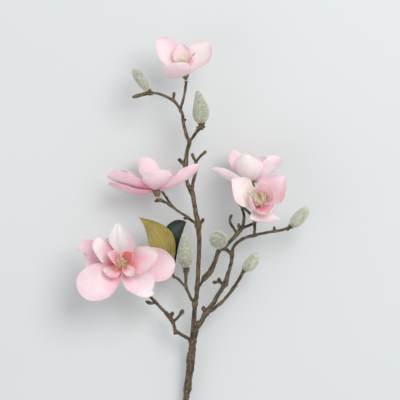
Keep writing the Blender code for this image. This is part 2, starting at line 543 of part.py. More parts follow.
# What the viewport shows of an object, as a plain closed mesh of its own.
def as_mesh(thing, name):
    bpy.context.view_layer.update()
    graph = bpy.context.evaluated_depsgraph_get()
    data = bpy.data.meshes.new_from_object(thing.evaluated_get(graph))
    bpy.data.objects.remove(thing, do_unlink=True)
    shape = bmesh.new()
    shape.from_mesh(data)
    bmesh.ops.remove_doubles(shape, verts=shape.verts, dist=WELD)
    bmesh.ops.recalc_face_normals(shape, faces=shape.faces)
    shape.to_mesh(data)
    shape.free()
    made = bpy.data.objects.new(name, data)
    made.name = name
    bpy.context.collection.objects.link(made)
    return made


# A round solid along the rows, as a bevelled curve with filled ends.
def tube(name, rows, bevel):
    curve = bpy.data.curves.new(name, "CURVE")
    curve.dimensions = "3D"
    curve.bevel_depth = MM
    curve.bevel_resolution = bevel
    curve.use_fill_caps = True
    spline = curve.splines.new("POLY")
    spline.points.add(len(rows) - 1)
    for point, row in zip(spline.points, rows):
        point.co = (row[0] * MM, row[1] * MM, row[2] * MM, 1)
        point.radius = row[3]
    thing = bpy.data.objects.new(name, curve)
    bpy.context.collection.objects.link(thing)
    return as_mesh(thing, name)


def combine(thing, other, operation):
    change = thing.modifiers.new(operation.lower(), "BOOLEAN")
    change.operation = operation
    change.object = other
    made = as_mesh(thing, thing.name)
    bpy.data.objects.remove(other, do_unlink=True)
    return made


# A twig with its shoots, cut back at its start to the surface of what carries it.
def make_twig(name):
    spec = TWIGS[name]
    rows = twig_rows(name)
    if "follows" in spec:
        heading = unit(rows[1][:3] - rows[0][:3])
        rows[0][:3] += heading * GAP
    thing = tube(name, rows, TWIG_BEVEL)
    for number, shoot in enumerate(spec["shoots"], 1):
        thing = combine(thing, tube(f"{name}_shoot_{number}", shoot, TWIG_BEVEL), "UNION")
    if "plugs_into" in spec:
        room = twig_rows(spec["plugs_into"])
        room[:, 3] = (room[:, 3] + GAP) / math.cos(math.pi / (4 + 2 * TWIG_BEVEL))
        thing = combine(thing, tube(f"{name}_room", room, TWIG_BEVEL), "DIFFERENCE")
    finish_object(thing, BROWN, 0.7)


def make_bud(name):
    spec = BUDS[name]
    base, tip = np.array(spec["base"], float), np.array(spec["tip"], float)
    bow = np.array(spec["bow"], float)
    rows = [(*(base + (tip - base) * share + bow * 4 * share * (1 - share)), size * spec["radius"])
            for share, size in BUD]
    finish_object(tube(name, rows, ROUND_BEVEL), FELT, 0.95)


def make_blade(name, grid, thickness, colour, roughness):
    rows, columns = grid.shape[:2]
    shape = bmesh.new()
    corners = [[shape.verts.new(point * MM) for point in row] for row in grid]
    for i in range(rows - 1):
        for j in range(columns - 1):
            shape.faces.new((corners[i][j], corners[i + 1][j], corners[i + 1][j + 1],
                             corners[i][j + 1]))
    data = bpy.data.meshes.new(name)
    shape.to_mesh(data)
    shape.free()
    thing = bpy.data.objects.new(name, data)
    bpy.context.collection.objects.link(thing)
    solid = thing.modifiers.new("thickness", "SOLIDIFY")
    solid.thickness = thickness * MM
    solid.offset = 0
    finish_object(thing, colour, roughness)


def make_flower(name):
    seat, axis = seat_and_axis(name)
    rows = [(*(seat + axis * (PEG_HEIGHT + GAP + along)), radius) for along, radius in STAMENS]
    finish_object(tube(name + "_stamens", rows, ROUND_BEVEL), CREAM, 0.8)
    for petal in FLOWERS[name]["petals"]:
        colour = PALE_PINK if petal.startswith("outer") else PINK
        make_blade(f"{name}_{petal}", petal_points(name, petal), PETAL_THICKNESS, colour, 0.6)


def main():
    clear_scene()
    for name in TWIGS:
        make_twig(name)
    for name in BUDS:
        make_bud(name)
    for name, leaf in LEAVES.items():
        make_blade(name, leaf_points(name), LEAF_THICKNESS, leaf["colour"], 0.45)
    for name in FLOWERS:
        make_flower(name)


if __name__ == "__main__":
    main()
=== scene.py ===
import math

import bmesh
import bpy
import numpy as np
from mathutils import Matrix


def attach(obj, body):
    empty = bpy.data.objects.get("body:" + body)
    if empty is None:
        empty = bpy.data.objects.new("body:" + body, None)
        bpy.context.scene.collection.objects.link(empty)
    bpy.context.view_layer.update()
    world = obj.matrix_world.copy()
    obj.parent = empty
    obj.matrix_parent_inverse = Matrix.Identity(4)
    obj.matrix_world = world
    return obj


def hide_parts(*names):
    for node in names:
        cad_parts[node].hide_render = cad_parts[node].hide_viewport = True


# A magnolia branch lying on a table, looked at from straight above.
# Sizes are millimetres and angles degrees until a mesh is written, which is in metres.

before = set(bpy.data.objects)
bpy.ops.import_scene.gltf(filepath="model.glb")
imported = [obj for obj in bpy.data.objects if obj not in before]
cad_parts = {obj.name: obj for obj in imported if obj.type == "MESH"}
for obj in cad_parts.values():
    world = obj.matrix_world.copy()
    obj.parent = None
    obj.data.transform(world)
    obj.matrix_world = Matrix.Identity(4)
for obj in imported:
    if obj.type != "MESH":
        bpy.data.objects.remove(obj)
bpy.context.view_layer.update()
print("frame loaded:", len(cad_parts), "nodes")

mm = 0.001
branchPlace = np.array([8.5, 70.5, 0.0])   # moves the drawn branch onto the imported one
weldDistance = 1e-7                        # in metres, closes the poles
goldenAngle = 2.39996                      # in radians


def unit(v):
    v = np.asarray(v, float)
    return v / np.linalg.norm(v, axis=-1, keepdims=True)


# Smooth step: 0 below low, 1 above high, 3x^2 - 2x^3 between.
def ease(value, low, high):
    x = np.clip((value - low) / (high - low), 0, 1)
    return x * x * (3 - 2 * x)


# Catmull-Rom curve through the rows, read at positions t counted in rows.
def readRows(rows, t):
    rows = np.array(rows, float)
    ends = np.vstack([2 * rows[0] - rows[1], rows, 2 * rows[-1] - rows[-2]])
    i = np.clip(np.asarray(t).astype(int), 0, len(rows) - 2)
    u = (t - i)[:, None]
    a, b, c, d = (ends[i + k] for k in range(4))
    return 0.5 * (2 * b + (c - a) * u + (2 * a - 5 * b + 4 * c - d) * u ** 2
                  + (3 * b - a - 3 * c + d) * u ** 3)


# The same curve read at even distances: its length is summed and turned round.
def evenRows(rows, step):
    t = np.linspace(0, len(rows) - 1, 40 * len(rows))
    fine = readRows(rows, t)
    run = np.concatenate([[0], np.cumsum(np.linalg.norm(np.diff(fine[:, :3], axis=0), axis=1))])
    count = max(4, round(run[-1] / step) + 1)
    where = np.interp(np.linspace(0, run[-1], count), run, t)
    return readRows(rows, where), np.linspace(0, run[-1], count)


# Soft lumps: the mean of a few sines of the point along random directions.
def lumps(points, size, seed, waves=7):
    rng = np.random.default_rng(seed)
    ways = unit(rng.normal(size=(waves, points.shape[-1])))
    pace = 2 * np.pi / size * rng.uniform(0.7, 1.5, waves)
    phase = rng.uniform(0, 2 * np.pi, waves)
    return np.sin(points @ (ways * pace[:, None]).T + phase).mean(axis=-1) * 1.6


# Quads between neighbouring rows and columns of a grid, and where each corner is on it.
def gridFaces(rows, columns, closed):
    i, j = np.meshgrid(np.arange(rows - 1), np.arange(columns if closed else columns - 1),
                       indexing="ij")
    i, j = i.ravel()[:, None], j.ravel()[:, None]
    down = i + np.array([0, 1, 1, 0])
    over = j + np.array([0, 0, 1, 1])
    return down * columns + over % columns, down, over


# One shell of a piece: points, faces of equal size, a map and values for its finish.
def shell(points, faces, mapAt, material=0, **values):
    points = points.reshape(-1, 3)
    corners = points[faces]
    middle = corners.mean(axis=(0, 1))
    a, b, c = corners[:, 0] - middle, corners[:, 1] - middle, corners[:, 2] - middle
    volume = (a * np.cross(b, c)).sum()
    if faces.shape[1] == 4:
        d = corners[:, 3] - middle
        volume += (a * np.cross(c, d)).sum()
    if volume < 0:   # inside out
        faces, mapAt = faces[:, ::-1], mapAt[:, ::-1]
    return {"points": points, "faces": faces, "map": mapAt, "material": material,
            "values": values}


def writeMesh(name, shells, finishes):
    counts = [len(part["points"]) for part in shells]
    firsts = np.cumsum([0] + counts[:-1])
    points = (np.vstack([part["points"] for part in shells]) + branchPlace) * mm
    corners = np.concatenate([(part["faces"] + first).ravel()
                              for part, first in zip(shells, firsts)])
    sizes = np.concatenate([np.full(len(part["faces"]), part["faces"].shape[1])
                            for part in shells])
    finish = np.concatenate([np.broadcast_to(part["material"], len(part["faces"]))
                             for part in shells])
    data = bpy.data.meshes.new(name)
    data.vertices.add(len(points))
    data.vertices.foreach_set("co", points.ravel())
    data.loops.add(len(corners))
    data.loops.foreach_set("vertex_index", corners.astype(np.int32))
    data.polygons.add(len(sizes))
    data.polygons.foreach_set("loop_start", (np.cumsum(sizes) - sizes).astype(np.int32))
    data.polygons.foreach_set("material_index", finish.astype(np.int32))
    data.update(calc_edges=True)
    flat = np.concatenate([part["map"].reshape(-1, 2) for part in shells])
    data.uv_layers.new(name="shapeMap").data.foreach_set("uv", flat.ravel())
    for key in shells[0]["values"]:
        value = np.concatenate([np.asarray(part["values"][key], float).reshape(count, -1)
                                for part, count in zip(shells, counts)])
        if value.shape[1] == 3:
            data.attributes.new(key, "FLOAT_VECTOR", "POINT").data.foreach_set(
                "vector", value.ravel())
        else:
            data.attributes.new(key, "FLOAT", "POINT").data.foreach_set("value", value.ravel())
    for each in finishes:
        data.materials.append(each)
    poles = bmesh.new()
    poles.from_mesh(data)
    bmesh.ops.remove_doubles(poles, verts=poles.verts, dist=weldDistance)
    poles.to_mesh(data)
    poles.free()
    data.shade_smooth()
    return data


def addObject(name, data):
    thing = bpy.data.objects.new(name, data)
    bpy.context.scene.collection.objects.link(thing)
    return thing


# Writes a piece that stands for one node of the frame.
def addPiece(name, node, shells, finishes):
    thing = addObject(name, writeMesh(name, shells, finishes))
    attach(thing, "root")
    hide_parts(node)
    return thing


def newFinish(name):
    made = bpy.data.materials.new(name)
    made.use_nodes = True
    return made, made.node_tree, made.node_tree.nodes["Principled BSDF"]


def addNode(tree, kind, inputs=None, **settings):
    node = tree.nodes.new(kind)
    for key, value in settings.items():
        setattr(node, key, value)
    for key, value in (inputs or {}).items():
        if isinstance(value, bpy.types.NodeSocket):
            tree.links.new(value, node.inputs[key])
        else:
            node.inputs[key].default_value = value
    return node


def setInputs(shader, values):
    for key, value in values.items():
        shader.inputs[key].default_value = value


def readValue(tree, key, output="Fac"):
    return addNode(tree, "ShaderNodeAttribute", attribute_name=key).outputs[output]


def objectPlace(tree):
    return addNode(tree, "ShaderNodeTexCoord").outputs["Object"]


def stretched(tree, vector, by):
    node = addNode(tree, "ShaderNodeVectorMath", {0: vector, 1: by}, operation="MULTIPLY")
    return node.outputs[0]


def colourRamp(tree, source, stops):
    node = addNode(tree, "ShaderNodeValToRGB", {"Fac": source})
    while len(node.color_ramp.elements) < len(stops):
        node.color_ramp.elements.new(0.5)
    for element, (place, colour) in zip(node.color_ramp.elements, stops):
        element.position = place
        element.color = (*colour, 1)
    return node.outputs["Color"]


def mathOf(tree, operation, a, b=0.0, clamp=False):
    node = addNode(tree, "ShaderNodeMath", {0: a, 1: b}, operation=operation, use_clamp=clamp)
    return node.outputs[0]


def mixColour(tree, share, a, b, blend="MIX"):
    node = tree.nodes.new("ShaderNodeMix")
    node.data_type = "RGBA"
    node.blend_type = blend
    for socket, value in zip((node.inputs[0], node.inputs[6], node.inputs[7]), (share, a, b)):
        if isinstance(value, bpy.types.NodeSocket):
            tree.links.new(value, socket)
        else:
            socket.default_value = value if socket == node.inputs[0] else (*value, 1)
    return node.outputs[2]


def noiseOf(tree, place, scale, detail=3.0, roughness=0.55):
    node = addNode(tree, "ShaderNodeTexNoise",
                   {"Vector": place, "Scale": scale, "Detail": detail, "Roughness": roughness})
    return node.outputs["Fac"]


def spread(tree, value, low, high, newLow=0.0, newHigh=1.0):
    node = addNode(tree, "ShaderNodeMapRange", {0: value, 1: low, 2: high, 3: newLow, 4: newHigh})
    return node.outputs[0]


def bumpOn(tree, shader, height, strength, distance):
    node = addNode(tree, "ShaderNodeBump",
                   {"Height": height, "Strength": strength, "Distance": distance})
    tree.links.new(node.outputs["Normal"], shader.inputs["Normal"])


# Stage: floor, lights and the camera straight above.
stageLook = {
    "floorColour": (0.70, 0.72, 0.71), "floorRoughness": 0.85, "floorSize": 6.0,
    "floorDepth": 0.0003,   # the floor lies this far below the branch
    "skyColour": (0.95, 0.97, 1.0), "skyStrength": 0.62,
    "keyPower": 21.0, "keySize": 1.2, "keyPlace": (0.7, 0.8, 1.75),
    "fillPower": 4.5, "fillSize": 1.6, "fillPlace": (-1.2, -0.5, 1.5),
    "cameraHeight": 2.545, "lens": 204.5,
}


# A round lamp that faces the origin.
def addLight(name, place, power, size):
    data = bpy.data.lights.new(name, "AREA")
    data.energy = power
    data.shape = "DISK"
    data.size = size
    lamp = addObject(name, data)
    lamp.location = place
    x, y, z = place
    lamp.rotation_euler = (math.atan2(math.hypot(x, y), z), 0, math.atan2(x, -y))


def makeStage():
    look = stageLook
    half = look["floorSize"] / 2
    data = bpy.data.meshes.new("floor")
    under = -look["floorDepth"]
    data.from_pydata([(-half, -half, under), (half, -half, under), (half, half, under),
                      (-half, half, under)], [], [(0, 1, 2, 3)])
    floor = addObject("floor", data)
    made, tree, shader = newFinish("floorPaint")
    place = objectPlace(tree)
    pale = look["floorColour"]
    grain = noiseOf(tree, place, 3.0)
    tree.links.new(colourRamp(tree, grain, [(0.3, pale), (0.7, [c * 1.02 for c in pale])]),
                   shader.inputs["Base Color"])
    shader.inputs["Roughness"].default_value = look["floorRoughness"]
    data.materials.append(made)

    world = bpy.data.worlds.new("softRoom")
    bpy.context.scene.world = world
    world.use_nodes = True
    sky = world.node_tree.nodes["Background"]
    sky.inputs["Color"].default_value = (*look["skyColour"], 1)
    sky.inputs["Strength"].default_value = look["skyStrength"]
    for lamp in ("key", "fill"):
        addLight(lamp + "Light", look[lamp + "Place"], look[lamp + "Power"], look[lamp + "Size"])

    lens = bpy.data.cameras.new("camera")
    lens.lens = look["lens"]
    lens.sensor_width = 36
    lens.clip_start, lens.clip_end = 0.05, 20
    camera = addObject("camera", lens)
    camera.location = (branchPlace[0] * mm, branchPlace[1] * mm, look["cameraHeight"])
    bpy.context.scene.camera = camera
    bpy.context.scene.view_settings.view_transform = "Standard"


makeStage()
print("stage made")


barkLook = {
    "around": 24, "step": 0.75, "shootAround": 16, "shootStep": 0.5,
    "ridge": 0.09, "ridgeSize": 1.6, "ridgeLong": 0.12,   # relief is in shares of the radius
    "lump": 0.1, "lumpSize": 7.0,
    "knuckle": 0.2, "knuckleReach": 3.2,   # swelling where something grows out
    "knob": 0.28,                          # swelling near the tip of a shoot
    "flare": 0.35, "flareReach": 1.6,      # widening at the foot of a shoot
    "scarEvery": 10.0, "scarHeight": 0.16, "scarWidth": 0.45, "scarTilt": 0.25,
    "neck": (-8.6, 1.75),                  # where a twig enters its flower's cup, and radius
    # dark is partly the bark's own dark fissures and partly painted shade in the furrows.
    "darkAndFurrowShade": (0.008, 0.006, 0.004), "brown": (0.045, 0.03, 0.016), "mid": (0.15, 0.105, 0.05),
    # tan is partly the bark's own chalky flecks and partly a painted highlight on raised spots.
    "tanAndHighlight": (0.50, 0.40, 0.27), "olive": (0.17, 0.135, 0.03), "rust": (0.19, 0.06, 0.02),
    "wood": (0.52, 0.40, 0.24),
}

# A route's rows are x, y, z and radius; shoots are spurs and knobs on the twig. Olive and
# rust say how much of those tints the twig shows.
twigs = {
    "main_stem": {
        "route": [
            (-23.5, -319, 4.9, 4.9), (-19.5, -270, 8, 4.4), (-15.5, -221, 12.3, 3.3),
            (-14, -210, 13, 4.3), (-12.6, -199, 14.8, 4.0), (-11.3, -188, 16.7, 4.1),
            (-10.2, -176.5, 18.5, 4.9), (-9, -168, 19.8, 4.1), (-8.2, -158, 22, 3.7),
            (-7.8, -145, 25, 2.7), (-6.5, -128, 29, 2.4), (-5.4, -113, 33, 2.5),
            (-4, -107, 34.5, 2.6),
        ],
        "shoots": [
            [(-5.4, -115, 33, 1.5), (-6, -110, 36, 1.2), (-6.2, -108.5, 37.5, 0.8)],
        ],
        "olive": 0.35, "rust": 0.1,
    },
    "upper_stem": {
        "follows": "main_stem",
        "route": [
            (-4, -107, 34.5, 2.3), (-2.8, -92, 37.5, 2.4), (-1.6, -70, 41, 2.3),
            (-0.8, -48, 44, 2.3), (-2, -29, 46, 2.8), (-4.5, -15, 46, 2.5), (-7, 0, 45, 2.4),
            (-9, 9, 44, 2.5), (-14, 19, 43, 2.0), (-15.8, 37, 43.5, 2.2), (-14.5, 52, 46.5, 2.2),
            (-11.8, 63, 49, 2.0), (-14.5, 70, 50.5, 1.8), (-18, 84, 53, 1.7),
            (-19.2, 94, 54.5, 1.7), (-21.5, 99, 55, 1.6), (-18.6, 109, 55, 1.4),
            (-16.3, 120, 55, 1.3),
        ],
        "shoots": [
            [(-2, -30, 46, 1.7), (1, -25.5, 47, 1.5), (3.2, -21.8, 48, 1.6),
             (3.8, -20.6, 48.2, 0.9)],
            [(-15, 36.5, 43.7, 1.9), (-19.5, 41, 44.2, 1.8), (-23, 44.5, 44.8, 1.6)],
            [(-18.3, 87, 53, 1.4), (-15.8, 88.3, 54, 1.0)],
            [(-9, 9.5, 44, 1.9), (-7.8, 18.5, 43.3, 1.8), (-5.3, 28, 43, 1.7),
             (-3.8, 35, 43.2, 1.6), (-5, 42, 44, 1.6), (-7, 46.5, 45, 1.5),
             (-8.6, 50.3, 45.8, 1.4)],
            [(-4.6, 41.5, 44, 1.5), (0, 47.7, 44.8, 1.4), (6.2, 53.1, 45.8, 1.4)],
            [(-10.5, 12, 43.8, 1.4), (-12.8, 14.5, 46, 1.1)],
        ],
        "flower": "top_flower", "olive": 0.5, "rust": 0.45,
    },
    "lower_left_twig": {
        "plugs_into": "main_stem",
        "route": [
            (-7.9, -156, 22.4, 1.9), (-13.4, -153.4, 24, 1.8), (-24, -147.3, 26.5, 1.8),
            (-27.2, -145, 27.3, 2.0), (-28.3, -141, 28.3, 1.9), (-30.6, -133.9, 29.8, 1.9),
            (-35.4, -127.7, 31, 1.8), (-41.6, -121, 32, 1.7), (-53.1, -108.8, 34.5, 1.7),
            (-66, -94, 36, 1.6), (-77, -81, 38.5, 1.6),
        ],
        "shoots": [
            [(-26, -146.3, 27, 1.7), (-28.3, -148, 27.3, 1.3)],
            [(-30, -134.5, 29.7, 1.5), (-26, -131.5, 31, 1.4), (-22.5, -127.5, 32, 1.4),
             (-20.2, -124.3, 32.5, 2.0), (-19.3, -122.2, 32.7, 1.5)],
            [(-32.5, -131.2, 30.3, 1.5), (-31.2, -127.5, 32.2, 1.5),
             (-30.7, -125.2, 33.2, 1.8), (-30.6, -124, 33.6, 1.0)],
            [(-34.7, -128.5, 30.8, 1.5), (-34.3, -126.5, 33, 1.5), (-34.4, -125.8, 33.6, 0.9)],
            [(-37.2, -126, 31.2, 1.4), (-36.7, -124, 33, 1.1)],
            [(-49.5, -112.7, 33.6, 1.4), (-52, -114.3, 34.6, 1.2), (-55, -113.8, 35.5, 1.8),
             (-57.5, -112.8, 36, 1.7), (-59.6, -112, 36.3, 0.8)],
        ],
        "flower": "left_flower", "olive": 0.3, "rust": 0.15,
    },
    "left_bud_twig": {
        "plugs_into": "main_stem",
        "route": [
            (-5.4, -114, 33, 1.6), (-9.2, -110, 34.2, 1.6), (-12.2, -103.8, 35.3, 1.6),
            (-15.4, -96, 37, 1.7), (-15.6, -88, 38, 1.5), (-15.3, -80, 39.9, 1.7),
            (-15.3, -75.7, 41, 1.6),
        ],
        "shoots": [
            [(-15.3, -80, 39.8, 1.6), (-12.6, -77.2, 41, 1.1)],
            [(-15.3, -80, 39.8, 1.6), (-17.8, -78.2, 40.3, 1.0)],
            [(-15.6, -95.8, 37, 1.5), (-18.5, -93.2, 37, 1.4), (-22, -89.2, 37, 1.4),
             (-25.6, -86.1, 37, 1.5), (-29.8, -84, 37, 1.4), (-33.5, -77, 37, 1.2)],
            [(-28.8, -85, 37, 1.3), (-30.5, -79, 33.5, 1.1)],
        ],
        "bud": "left_bud", "olive": 0.4, "rust": 0.3,
    },
    "right_branch": {
        "plugs_into": "main_stem",
        "route": [
            (-7.9, -157, 22.4, 2.5), (-5, -150, 28.5, 2.5), (-4, -143, 31.5, 2.4),
            (-1, -138, 32, 2.6), (2, -133.5, 32, 2.6), (5, -128, 32, 2.6), (7.5, -124, 32, 2.6),
            (11, -119, 32.5, 2.6), (15.5, -113, 33, 2.4), (19, -106.5, 34, 2.3),
            (23.5, -99, 35, 2.3), (27.2, -93, 36, 2.7), (29.8, -86, 36.5, 2.5),
            (31.8, -78.5, 37.5, 2.1), (34.2, -70.3, 38.3, 2.0), (35.2, -62.9, 39.7, 2.0),
            (35.7, -57.4, 40.5, 2.2),
        ],
        "shoots": [
            [(-1, -138, 32, 1.8), (-2.4, -135.3, 34, 1.6), (-2.8, -134, 34.6, 1.0)],
            [(6.3, -126, 32, 1.7), (5.2, -122.8, 33.8, 1.5), (4.1, -120, 34.6, 2.1),
             (3.9, -118.2, 34.8, 1.3)],
            [(26.6, -94, 35.8, 1.7), (23.3, -91.8, 36.8, 1.5), (21, -89, 37.8, 2.1),
             (20.9, -86.5, 38, 1.2)],
            [(21.5, -90.2, 37.4, 1.2), (18.3, -90.5, 37.7, 1.5), (15.8, -90.8, 38, 1.8),
             (14.2, -91.2, 38, 0.8)],
            [(34.8, -60.3, 40, 1.6), (31.3, -57, 40.2, 1.5), (27.8, -54.4, 40, 1.4)],
        ],
        "olive": 0.35, "rust": 0.1,
    },
    "outer_right_twig": {
        "plugs_into": "right_branch",
        "route": [
            (7.3, -124.5, 32, 1.9), (12.5, -122.5, 32, 1.9), (18, -117.8, 32.5, 1.8),
            (24, -113, 34, 1.9), (31.5, -104.5, 35.5, 1.8), (38, -95.5, 37, 1.7),
            (44, -86, 39, 1.7), (48.3, -78.3, 40.5, 1.7),
        ],
        "shoots": [
            [(37, -97, 37, 1.3), (40.3, -94, 39, 1.0)],
        ],
        "bud": "outer_right_bud", "olive": 0.45, "rust": 0.2,
    },
    "right_branch_top": {
        "plugs_into": "front_bud_twig",
        "route": [
            (26.5, -53.4, 50.7, 2.0), (28.8, -50.3, 49.6, 2.0), (32.5, -46.2, 47.5, 2.0),
            (36.5, -42.3, 45.3, 2.0), (40.9, -37.3, 43.3, 2.0), (44.7, -32.3, 42.3, 1.9),
            (47.3, -28, 42, 1.7), (48.5, -16.5, 42, 1.6), (46.5, -8, 42.5, 1.6), (50, 2, 43.5, 1.6),
            (55, 9, 44.3, 1.6),
        ],
        "shoots": [
            [(41, -37, 43.2, 1.6), (37.5, -31.8, 42, 1.5), (34, -26.5, 42, 1.5),
             (32.9, -21.5, 42, 1.4), (34.8, -16.8, 42, 1.1)],
            [(44.2, -33, 42.4, 1.5), (42.9, -28.5, 43.7, 1.6), (42.6, -26.5, 44.2, 1.0)],
            [(46, -31, 42.2, 1.7), (52, -28.9, 41.2, 1.5), (58, -26.4, 40.2, 1.2)],
        ],
        "flower": "back_flower", "olive": 0.45, "rust": 0.1,
    },
    "right_side_twig": {
        "follows": "right_branch",
        "route": [
            (35.7, -57.4, 40.5, 1.9), (36.5, -53.3, 40.9, 1.8), (40.3, -47.8, 41.5, 1.8),
            (46.4, -43.3, 42, 1.8), (53, -40.6, 42, 1.7), (59.8, -39, 42.3, 1.8),
            (65, -37.6, 42.5, 1.6), (78, -35, 43, 1.5), (90.5, -33, 43.5, 1.5),
            (99.3, -29.5, 44, 1.4),
        ],
        "shoots": [
            [(81.8, -34.6, 43.1, 1.3), (81.8, -31.5, 44, 1.3), (81.8, -29.8, 44.5, 1.0)],
        ],
        "bud": "side_bud", "olive": 0.35, "rust": 0.15,
    },
    "right_flower_twig": {
        "plugs_into": "right_side_twig",
        "route": [
            (59.8, -39, 42.3, 1.5), (60.2, -32, 43, 1.5), (60.2, -26, 45, 1.6),
            (61.5, -18, 47, 1.5), (64.3, -11.5, 49.5, 1.6),
        ],
        "shoots": [
            [(60.4, -25, 45.3, 1.6), (55.5, -15.5, 48.3, 1.5), (43, -4.5, 48.3, 1.2)],
        ],
        "flower": "right_flower", "olive": 0.4, "rust": 0.1,
    },
    "front_bud_twig": {
        "plugs_into": "upper_stem",
        "route": [
            (-3.1, -98.5, 36.2, 1.3), (0.5, -93.5, 39.3, 1.3), (2, -90.5, 40.5, 1.5),
            (3.5, -88, 41.3, 2.6), (6.5, -84.3, 42.6, 3.1), (11, -79, 44.4, 3.1),
            (14.8, -71.5, 46.6, 2.6), (17.8, -63.5, 48.5, 2.3), (20, -57.2, 49.9, 2.3),
            (22.4, -53.8, 50.6, 2.3), (26, -53.2, 50.8, 2.2), (29.3, -54.4, 50.3, 1.9),
            (32.5, -56.2, 49.5, 1.3),
        ],
        "shoots": [
            [(21.8, -54.5, 50.5, 1.8), (22.6, -51.2, 53, 1.7), (23.4, -48.2, 54.4, 1.6)],
        ],
        "bud": "front_bud", "olive": 0.25, "rust": 0.1,
    },
    "middle_flower_twig": {
        "plugs_into": "upper_stem",
        "route": [
            (-2.5, -27.3, 46.1, 1.6), (-6.5, -24.6, 46.1, 1.5), (-11, -21, 45.9, 1.5),
            (-16.5, -17, 45.5, 1.4), (-24.5, -12, 45, 1.4), (-31.8, -6.2, 44.3, 1.5),
            (-40, -1.7, 43.5, 1.5),
        ],
        "shoots": [
            [(-12.5, -19.6, 45.8, 1.3), (-16.5, -20.2, 44.5, 1.2), (-17.8, -20, 44.2, 0.8)],
            [(-31, -6.8, 44.5, 1.5), (-37, 2.5, 39, 1.4), (-41.5, 8.8, 34.5, 1.1)],
            [(-43, -0.4, 43.4, 1.3), (-49.3, -1.3, 43.5, 1.1)],
        ],
        "flower": "middle_flower", "olive": 0.45, "rust": 0.2,
    },
    "top_left_twig": {
        "plugs_into": "upper_stem",
        "route": [
            (-21.5, 99, 55, 1.5), (-25, 104.5, 55, 1.5), (-29, 108.9, 55, 1.6),
            (-37.2, 113.4, 54, 1.5), (-47, 116.9, 53, 1.4), (-55.5, 117.4, 52, 1.8),
            (-64.3, 115.4, 51.2, 2.1), (-71.5, 113.5, 50.5, 1.8), (-73.5, 113, 50.3, 1.2),
        ],
        "shoots": [
            [(-29.6, 109.3, 55, 1.4), (-28.7, 113.5, 55.5, 1.3), (-28.4, 117, 56, 1.3)],
            [(-55.2, 116.8, 52, 1.8), (-56, 119.5, 52.3, 2.2)],
        ],
        "bud": "top_left_bud", "olive": 0.45, "rust": 0.5,
    },
    "top_right_twig": {
        "plugs_into": "upper_stem",
        "route": [
            (-12, 63.6, 49.2, 1.6), (-9, 67.2, 50.6, 1.6), (-5.1, 72.8, 52.8, 1.7),
            (-0.6, 79, 55, 1.8), (1.3, 82.9, 55.6, 1.6),
        ],
        "shoots": [
            [(-0.4, 79, 55, 1.5), (3, 79.9, 55.4, 1.3), (5.2, 80.4, 55.4, 0.9)],
            [(-1.5, 77.5, 54.6, 1.3), (-3.2, 80.2, 55.8, 0.9)],
        ],
        "bud": "top_right_bud", "olive": 0.4, "rust": 0.5,
    },
}

# The cup under a flower: distance from its face along the axis, and radius.
cupShape = {
    "rows": [(-9.2, 1.5), (-8.3, 2.05), (-7.6, 1.75), (-6.6, 2.0), (-5.2, 2.75), (-3.4, 3.75),
             (-1.6, 4.45), (-0.6, 4.75), (-0.1, 4.5), (0.2, 3.3), (0.6, 2.3), (1.4, 2.1),
             (3.2, 2.1), (4.8, 2.1), (5.6, 1.7)],
    "around": 36, "lobes": 3, "lobeDepth": 0.05,
}
collarShape = {
    "rows": [(-5.5, 1.5), (-4.2, 1.75), (-2.6, 2.1), (-1.2, 2.9), (-0.2, 3.5), (0.5, 3.7),
             (0.8, 2.6)],
    "around": 24, "scales": 4, "scaleDepth": 0.2,
}

# The rings that close a tube: their radii as shares, and how far they stand out in radii.
capShape = {"shrink": [0.0, 0.45, 0.75, 0.93], "round": 0.9, "cut": [0.15, 0.15, 0.15, 0.06]}


# A round skin along rows of x, y, z, radius. Each ring stands square to the way the path
# runs, turned from the direction that the path bends towards least. The radius is the
# row's, times one plus the relief, and rings that shrink to a point close both ends.
def skinAlong(rows, run, around, relief, seed, cutStart=False, material=0, tint=(0, 0)):
    centre, radius = rows[:, :3], rows[:, 3]
    way = unit(np.gradient(centre, run, axis=0))
    across = np.linalg.svd(way, full_matrices=False)[2][-1]
    side = unit(across - way * (way @ across)[:, None])
    rise = np.cross(way, side)
    shrink = np.array(capShape["shrink"])
    caps = len(shrink)
    dome = capShape["round"] * np.sqrt(1 - shrink ** 2)
    first = (np.array(capShape["cut"]) if cutStart else dome) * radius[0]
    last = dome[::-1] * radius[-1]
    centre = np.vstack([centre[0] - way[0] * first[:, None], centre,
                        centre[-1] + way[-1] * last[:, None]])
    radius = np.concatenate([shrink * radius[0], radius, shrink[::-1] * radius[-1]])
    run = np.concatenate([run[0] - first, run, run[-1] + last])
    side, rise = (np.vstack([np.repeat(v[:1], caps, 0), v, np.repeat(v[-1:], caps, 0)])
                  for v in (side, rise))
    angle = np.linspace(0, 2 * np.pi, around, endpoint=False)
    circle = np.stack([np.cos(angle), np.sin(angle)], axis=-1)
    grain = np.concatenate([circle[None] * np.maximum(radius, 0.3)[:, None, None],
                            np.broadcast_to(run[:, None, None], (len(run), around, 1))], axis=2)
    out = side[:, None] * circle[None, :, :1] + rise[:, None] * circle[None, :, 1:]
    thick = radius[:, None] * (1 + relief(grain, run, angle, seed))
    faces, down, over = gridFaces(len(run), around, True)
    mapAt = np.stack([over / around, run[down] * 0.1], axis=-1)
    if cutStart:
        material = np.where(down.max(axis=1) < caps, 2, material)
    return shell(centre[:, None] + out * thick[..., None], faces, mapAt, material, grain=grain,
                 olive=np.full(thick.shape, tint[0]), rust=np.full(thick.shape, tint[1]))


